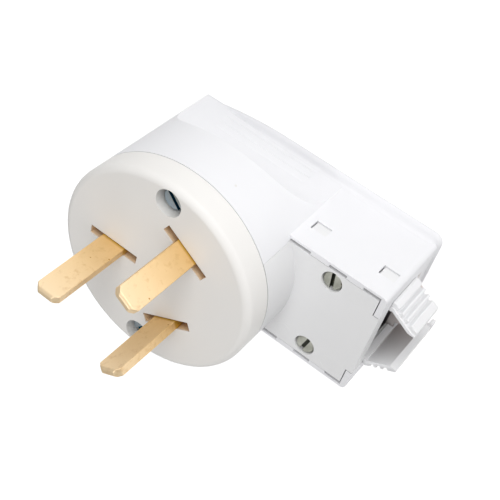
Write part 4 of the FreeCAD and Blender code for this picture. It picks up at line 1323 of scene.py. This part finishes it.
@dataclass
class CordJaws(Assembly):
    """Two ridged wings at the cord outlet, each on a trunnion inside the arm."""

    front: float = -27.6
    back: float = -43.7
    wing_backs: tuple[tuple[Side, float], ...] = ((Side.UPPER, -41.1), (Side.LOWER, -49.8))
    wing_edge: float = 0.1
    arm_out: float = 11.4
    arm_in: float = 10.2
    arm_thin: float = 10.6
    arm_step: float = 53.8
    arm_edge: float = 0.12
    root: Point = (55.5, 10.85)
    root_step: Point = (0.4, 0.25)
    foot: float = 55.24
    step: float = 56.0
    slope: float = 30.0
    bend: float = 7.8
    tip: float = 64.34
    nose: float = 0.6
    thick: float = 2.3
    ridges: int = 3
    ridge_first: float = 1.15
    ridge_pitch: float = 2.05
    ridge_inset: float = 0.45
    ridge_edge: float = 0.24
    ridge_root: float = 0.3
    flank: float = 0.3
    groove_wide: float = 1.0
    groove_deep: float = 1.3
    barrel: float = 1.85
    trunnion: float = 1.1
    trunnion_levels: Span = (-46.2, -25.1)
    nub_long: float = 1.2
    nub_across: Span = (-7.95, -5.65)
    nub_levels: Span = (-51.0, -48.6)
    nub_edge: float = 0.25
    mark_before: float = 0.1
    mark_short: float = 1.9
    inward: float = -0.5

    @property
    def angle(self) -> float:
        """The wing's slope in radians."""
        return math.radians(self.slope)

    def wing_point(self, along: float, out: float) -> Point:
        """A point of the wing by its distance along the slope and out of its inner face."""
        across, up = math.cos(self.angle), math.sin(self.angle)
        return self.root[0] + along * across + out * up, self.root[1] - along * up + out * across

    def face_height(self, x: float) -> float:
        """How far the slope of the inner face lies from the cord's middle at a place along the cord."""
        return self.root[1] - (x - self.root[0]) * math.tan(self.angle)

    def tip_point(self, out: float) -> Point:
        """The point at a distance out of the inner face where the wing is cut off square."""
        return self.tip, self.face_height(self.tip) + out / math.cos(self.angle)

    def at_height(self, height: float, out: float) -> Point:
        """The point at a distance out of the inner face that lies at a height across the cord."""
        along = (self.root[1] + out * math.cos(self.angle) - height) / math.sin(self.angle)
        return self.wing_point(along, out)

    def inner_face(self) -> list[Point]:
        """The wing's inner face from its step to its straight tip."""
        bend = self.wing_point(self.bend, 0.0)
        return [(self.step, self.face_height(self.step)), bend, (self.tip, bend[1])]

    def plate(self) -> list[Point]:
        """Outline of the wing without its ridges.

        Returns:
            The outline, on the upper side.
        """
        face, floor = self.inner_face(), self.thick - self.groove_deep
        nose = face[-1][1] + self.nose
        return face + [(self.tip, nose), self.at_height(nose, floor), self.wing_point(0.0, floor),
                       (self.foot, self.arm_out), self.root]

    def arm_outline(self) -> list[Point]:
        """Outline of the arm that joins the wing to its pivot, thinner inside the outlet."""
        return [(self.pivot[0], self.arm_thin), (self.arm_step, self.arm_thin), (self.arm_step, self.arm_in),
                (self.step, self.arm_in), (self.step, self.arm_out), (self.pivot[0], self.arm_out)]

    def ridge_outlines(self) -> list[list[Point]]:
        """Outlines of the root ridge, the narrow ridges and the last flat panel.

        Returns:
            One outline for each, on the upper side.
        """
        floor, top = self.thick - self.groove_deep - self.ridge_root, self.thick
        root, (back, rise) = self.wing_point(0.0, top), self.root_step
        ends = [self.ridge_first + index * self.ridge_pitch for index in range(self.ridges)]
        starts = [end + self.groove_wide for end in ends]
        found = [[(self.foot, self.arm_out - self.ridge_root), self.wing_point(ends[0] + self.flank, floor),
                  self.wing_point(ends[0], top), root, (root[0] - back, root[1] + rise),
                  (self.foot, root[1] + rise)]]
        for low, high in zip(starts, ends[1:]):
            found.append([self.wing_point(low - self.flank, floor), self.wing_point(high + self.flank, floor),
                          self.wing_point(high - self.flank / 2, top),
                          self.wing_point(low + self.flank / 2, top)])
        nose = self.inner_face()[-1][1] + self.nose / 4
        found.append([self.wing_point(starts[-1] - self.flank, floor), self.at_height(nose, floor),
                      (self.tip - SHY / 2, nose), self.tip_point(top),
                      self.wing_point(starts[-1] + self.flank / 2, top)])
        return found

    def build_jaw(self, side: Side, wing_back: float) -> None:
        """Model one jaw.

        Args:
            side: The jaw's side.
            wing_back: Lowest level of its wing.
        """
        name = f"cord_jaw_{side.label}"
        jaw = prism(f"{name}_wing", mirrored(self.plate(), side), wing_back, self.front)
        soften(jaw, self.wing_edge, segments=3, angle=25.0)
        for outline in self.ridge_outlines():
            ridge = prism("ridge", mirrored(outline, side), wing_back + SHY, self.front - self.ridge_inset)
            join(jaw, soften(ridge, self.ridge_edge, segments=4, angle=25.0))
        pivot, across = side.place(*self.pivot), side.span(self.arm_thin + SHY, self.arm_out - SHY)
        arm = prism("arm", mirrored(self.arm_outline(), side), max(wing_back, self.back),
                    self.front - 2 * SHY)
        join(jaw, soften(arm, self.arm_edge),
             prism("arm_end", rectangle(pivot[0], self.foot, *across), self.back, self.front - 4 * SHY),
             prism("barrel", ring(self.barrel, pivot), self.back + SHY, self.front - SHY),
             prism("trunnion", ring(self.trunnion, pivot), *self.trunnion_levels))
        if side is Side.LOWER:
            corner = rectangle(self.tip - self.nub_long, self.tip - SHY, *self.nub_across)
            join(jaw, soften(prism("nub", corner, *self.nub_levels), self.nub_edge, segments=3))
        # Mark the wings' inner faces, which take a painted shade.
        start, end = self.step - self.mark_before, self.tip - self.mark_short
        mark_faces(soften(jaw), lambda spot, normal: normal.y * side.value < self.inward
                   and start < spot.x < end)
        self.hand_over(jaw, name, "jaw_plastic", name)

    def build(self) -> None:
        """Model both jaws."""
        for side, wing_back in self.wing_backs:
            self.build_jaw(side, wing_back)


@dataclass
class CordSaddle(Assembly):
    """Floor of the cord outlet, with the jaws' lower bearings."""

    length: Span = (46.2, 53.0)
    half: float = 13.2
    top: float = -44.0
    back: float = -48.4
    tongue: tuple[Point, ...] = ((52.0, -11.55), (55.2, -11.55), (55.2, -9.0), (58.0, -7.0))
    tongue_thick: float = 1.4
    bearing_deep: float = 2.5
    edge: float = 0.12

    def build(self) -> None:
        """Model the saddle."""
        saddle = prism("cord_saddle_moulding", band(*self.length, self.half), self.back, self.top)
        tongue = prism("tongue", closed(self.tongue), self.top - self.tongue_thick, self.top - SHY / 10)
        join(saddle, tongue)
        for side in Side:
            bearing = ring(self.pivot_bore, side.place(*self.pivot))
            carve(saddle, prism("bearing", bearing, self.top - self.bearing_deep, self.top + self.over))
        self.hand_over(soften(saddle, self.edge), "cord_saddle", "grey_plastic")
        # Dress the saddle in the darker copy of the grey plastic, its painted shade.
        self.finishes.dress(saddle, "saddle_plastic")


# Stage

@dataclass(frozen=True)
class Lamp:
    """A large round soft lamp that faces the plug."""

    name: str
    place: Triple
    size: float
    power: float

    def hang(self) -> None:
        """Add the lamp to the scene."""
        light = bpy.data.lights.new(self.name, "AREA")
        light.shape = "DISK"
        light.size = self.size * MM
        light.energy = self.power
        holder = bpy.data.objects.new(self.name, light)
        holder.location = Vector(self.place) * MM
        holder.rotation_euler = (-Vector(self.place)).to_track_quat("-Z", "Y").to_euler()
        bpy.context.scene.collection.objects.link(holder)


@dataclass
class Studio:
    """White floor, soft lamps and the camera of the photograph.

    The floor's size and the camera's near limit are in metres.
    """

    floor_level: float = -51.4
    floor_size: float = 6.0
    floor_finish: StageWhite = StageWhite("floor_white", (0.9, 0.9, 0.9))
    lamps: tuple[Lamp, ...] = (
        Lamp("overhead", (20.0, 580.0, 120.0), 300.0, 0.67),
        Lamp("overhead_end", (300.0, 490.0, 130.0), 300.0, 0.77),
        Lamp("overhead_front", (40.0, 500.0, 320.0), 300.0, 0.53),
        Lamp("under", (60.0, -480.0, 180.0), 300.0, 0.24),
        Lamp("end", (560.0, 60.0, 120.0), 260.0, 0.14),
        Lamp("front", (60.0, 40.0, 600.0), 300.0, 0.98),
    )
    world: float = 0.32
    lens: float = 71.13
    sensor: float = 36.0
    near_limit: float = 0.01
    shift: Point = (0.0583, -0.034)
    eye: Triple = (87.9, 191.0, 155.4)
    right: Triple = (0.784, 0.210, -0.584)
    upward: Triple = (-0.541, 0.692, -0.478)

    def build(self) -> None:
        """Set the whole stage."""
        self.add_floor()
        for lamp in self.lamps:
            lamp.hang()
        self.set_world()
        self.add_camera()
        bpy.context.scene.view_settings.view_transform = "Standard"

    def add_floor(self) -> None:
        """Lay the floor under the plug."""
        deselect()
        place = (0.0, 0.0, self.floor_level * MM)
        bpy.ops.mesh.primitive_plane_add(size=self.floor_size, location=place)
        floor = bpy.context.object
        floor.name = "floor"
        floor.data.materials.append(self.floor_finish.build())

    def set_world(self) -> None:
        """Light everything evenly, and show pure white to the camera."""
        world = bpy.data.worlds.new("studio")
        bpy.context.scene.world = world
        world.use_nodes = True
        tree = world.node_tree
        background = tree.nodes["Background"]
        background.inputs["Color"].default_value = (1.0, 1.0, 1.0, 1.0)
        path = add_node(tree, "ShaderNodeLightPath")
        level = spread(tree, path.outputs["Is Camera Ray"], self.world, 1.0)
        tree.links.new(level, background.inputs["Strength"])

    def add_camera(self) -> None:
        """Stand the camera where the photograph was taken from."""
        camera = bpy.data.cameras.new("photo_camera")
        camera.lens = self.lens
        camera.sensor_width = self.sensor
        camera.shift_x, camera.shift_y = self.shift
        camera.clip_start = self.near_limit
        holder = bpy.data.objects.new("photo_camera", camera)
        right = Vector(self.right).normalized()
        upward = (Vector(self.upward) - right * Vector(self.upward).dot(right)).normalized()
        turned = Matrix((right, upward, right.cross(upward))).transposed().to_4x4()
        holder.matrix_world = Matrix.Translation(Vector(self.eye) * MM) @ turned
        bpy.context.scene.collection.objects.link(holder)
        bpy.context.scene.camera = holder


def dress_inner_nodes(finishes: Finishes) -> None:
    """Give the CAD nodes that stay as they are a finished material.

    Args:
        finishes: The plug's finishes.
    """
    hidden = {node for piece in bpy.data.objects for node in piece.get("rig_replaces", [])}
    for entry in frame["record"]["subparts"]:
        if entry["node"] not in hidden:
            finishes.dress_node(entry["node"], entry["material_slot"])
            LOG.info("%s keeps its packed shape", entry["node"])


def main() -> None:
    """Build the plug and its stage."""
    logging.basicConfig(level=logging.INFO, format="%(message)s")
    finishes = Finishes(Effects())
    for assembly in (PinBase, Blades, RearCover, CordLid, SlottedScrews, CordJaws, CordSaddle):
        assembly(finishes).build()
    dress_inner_nodes(finishes)
    Studio().build()


if __name__ == "__main__":
    main()
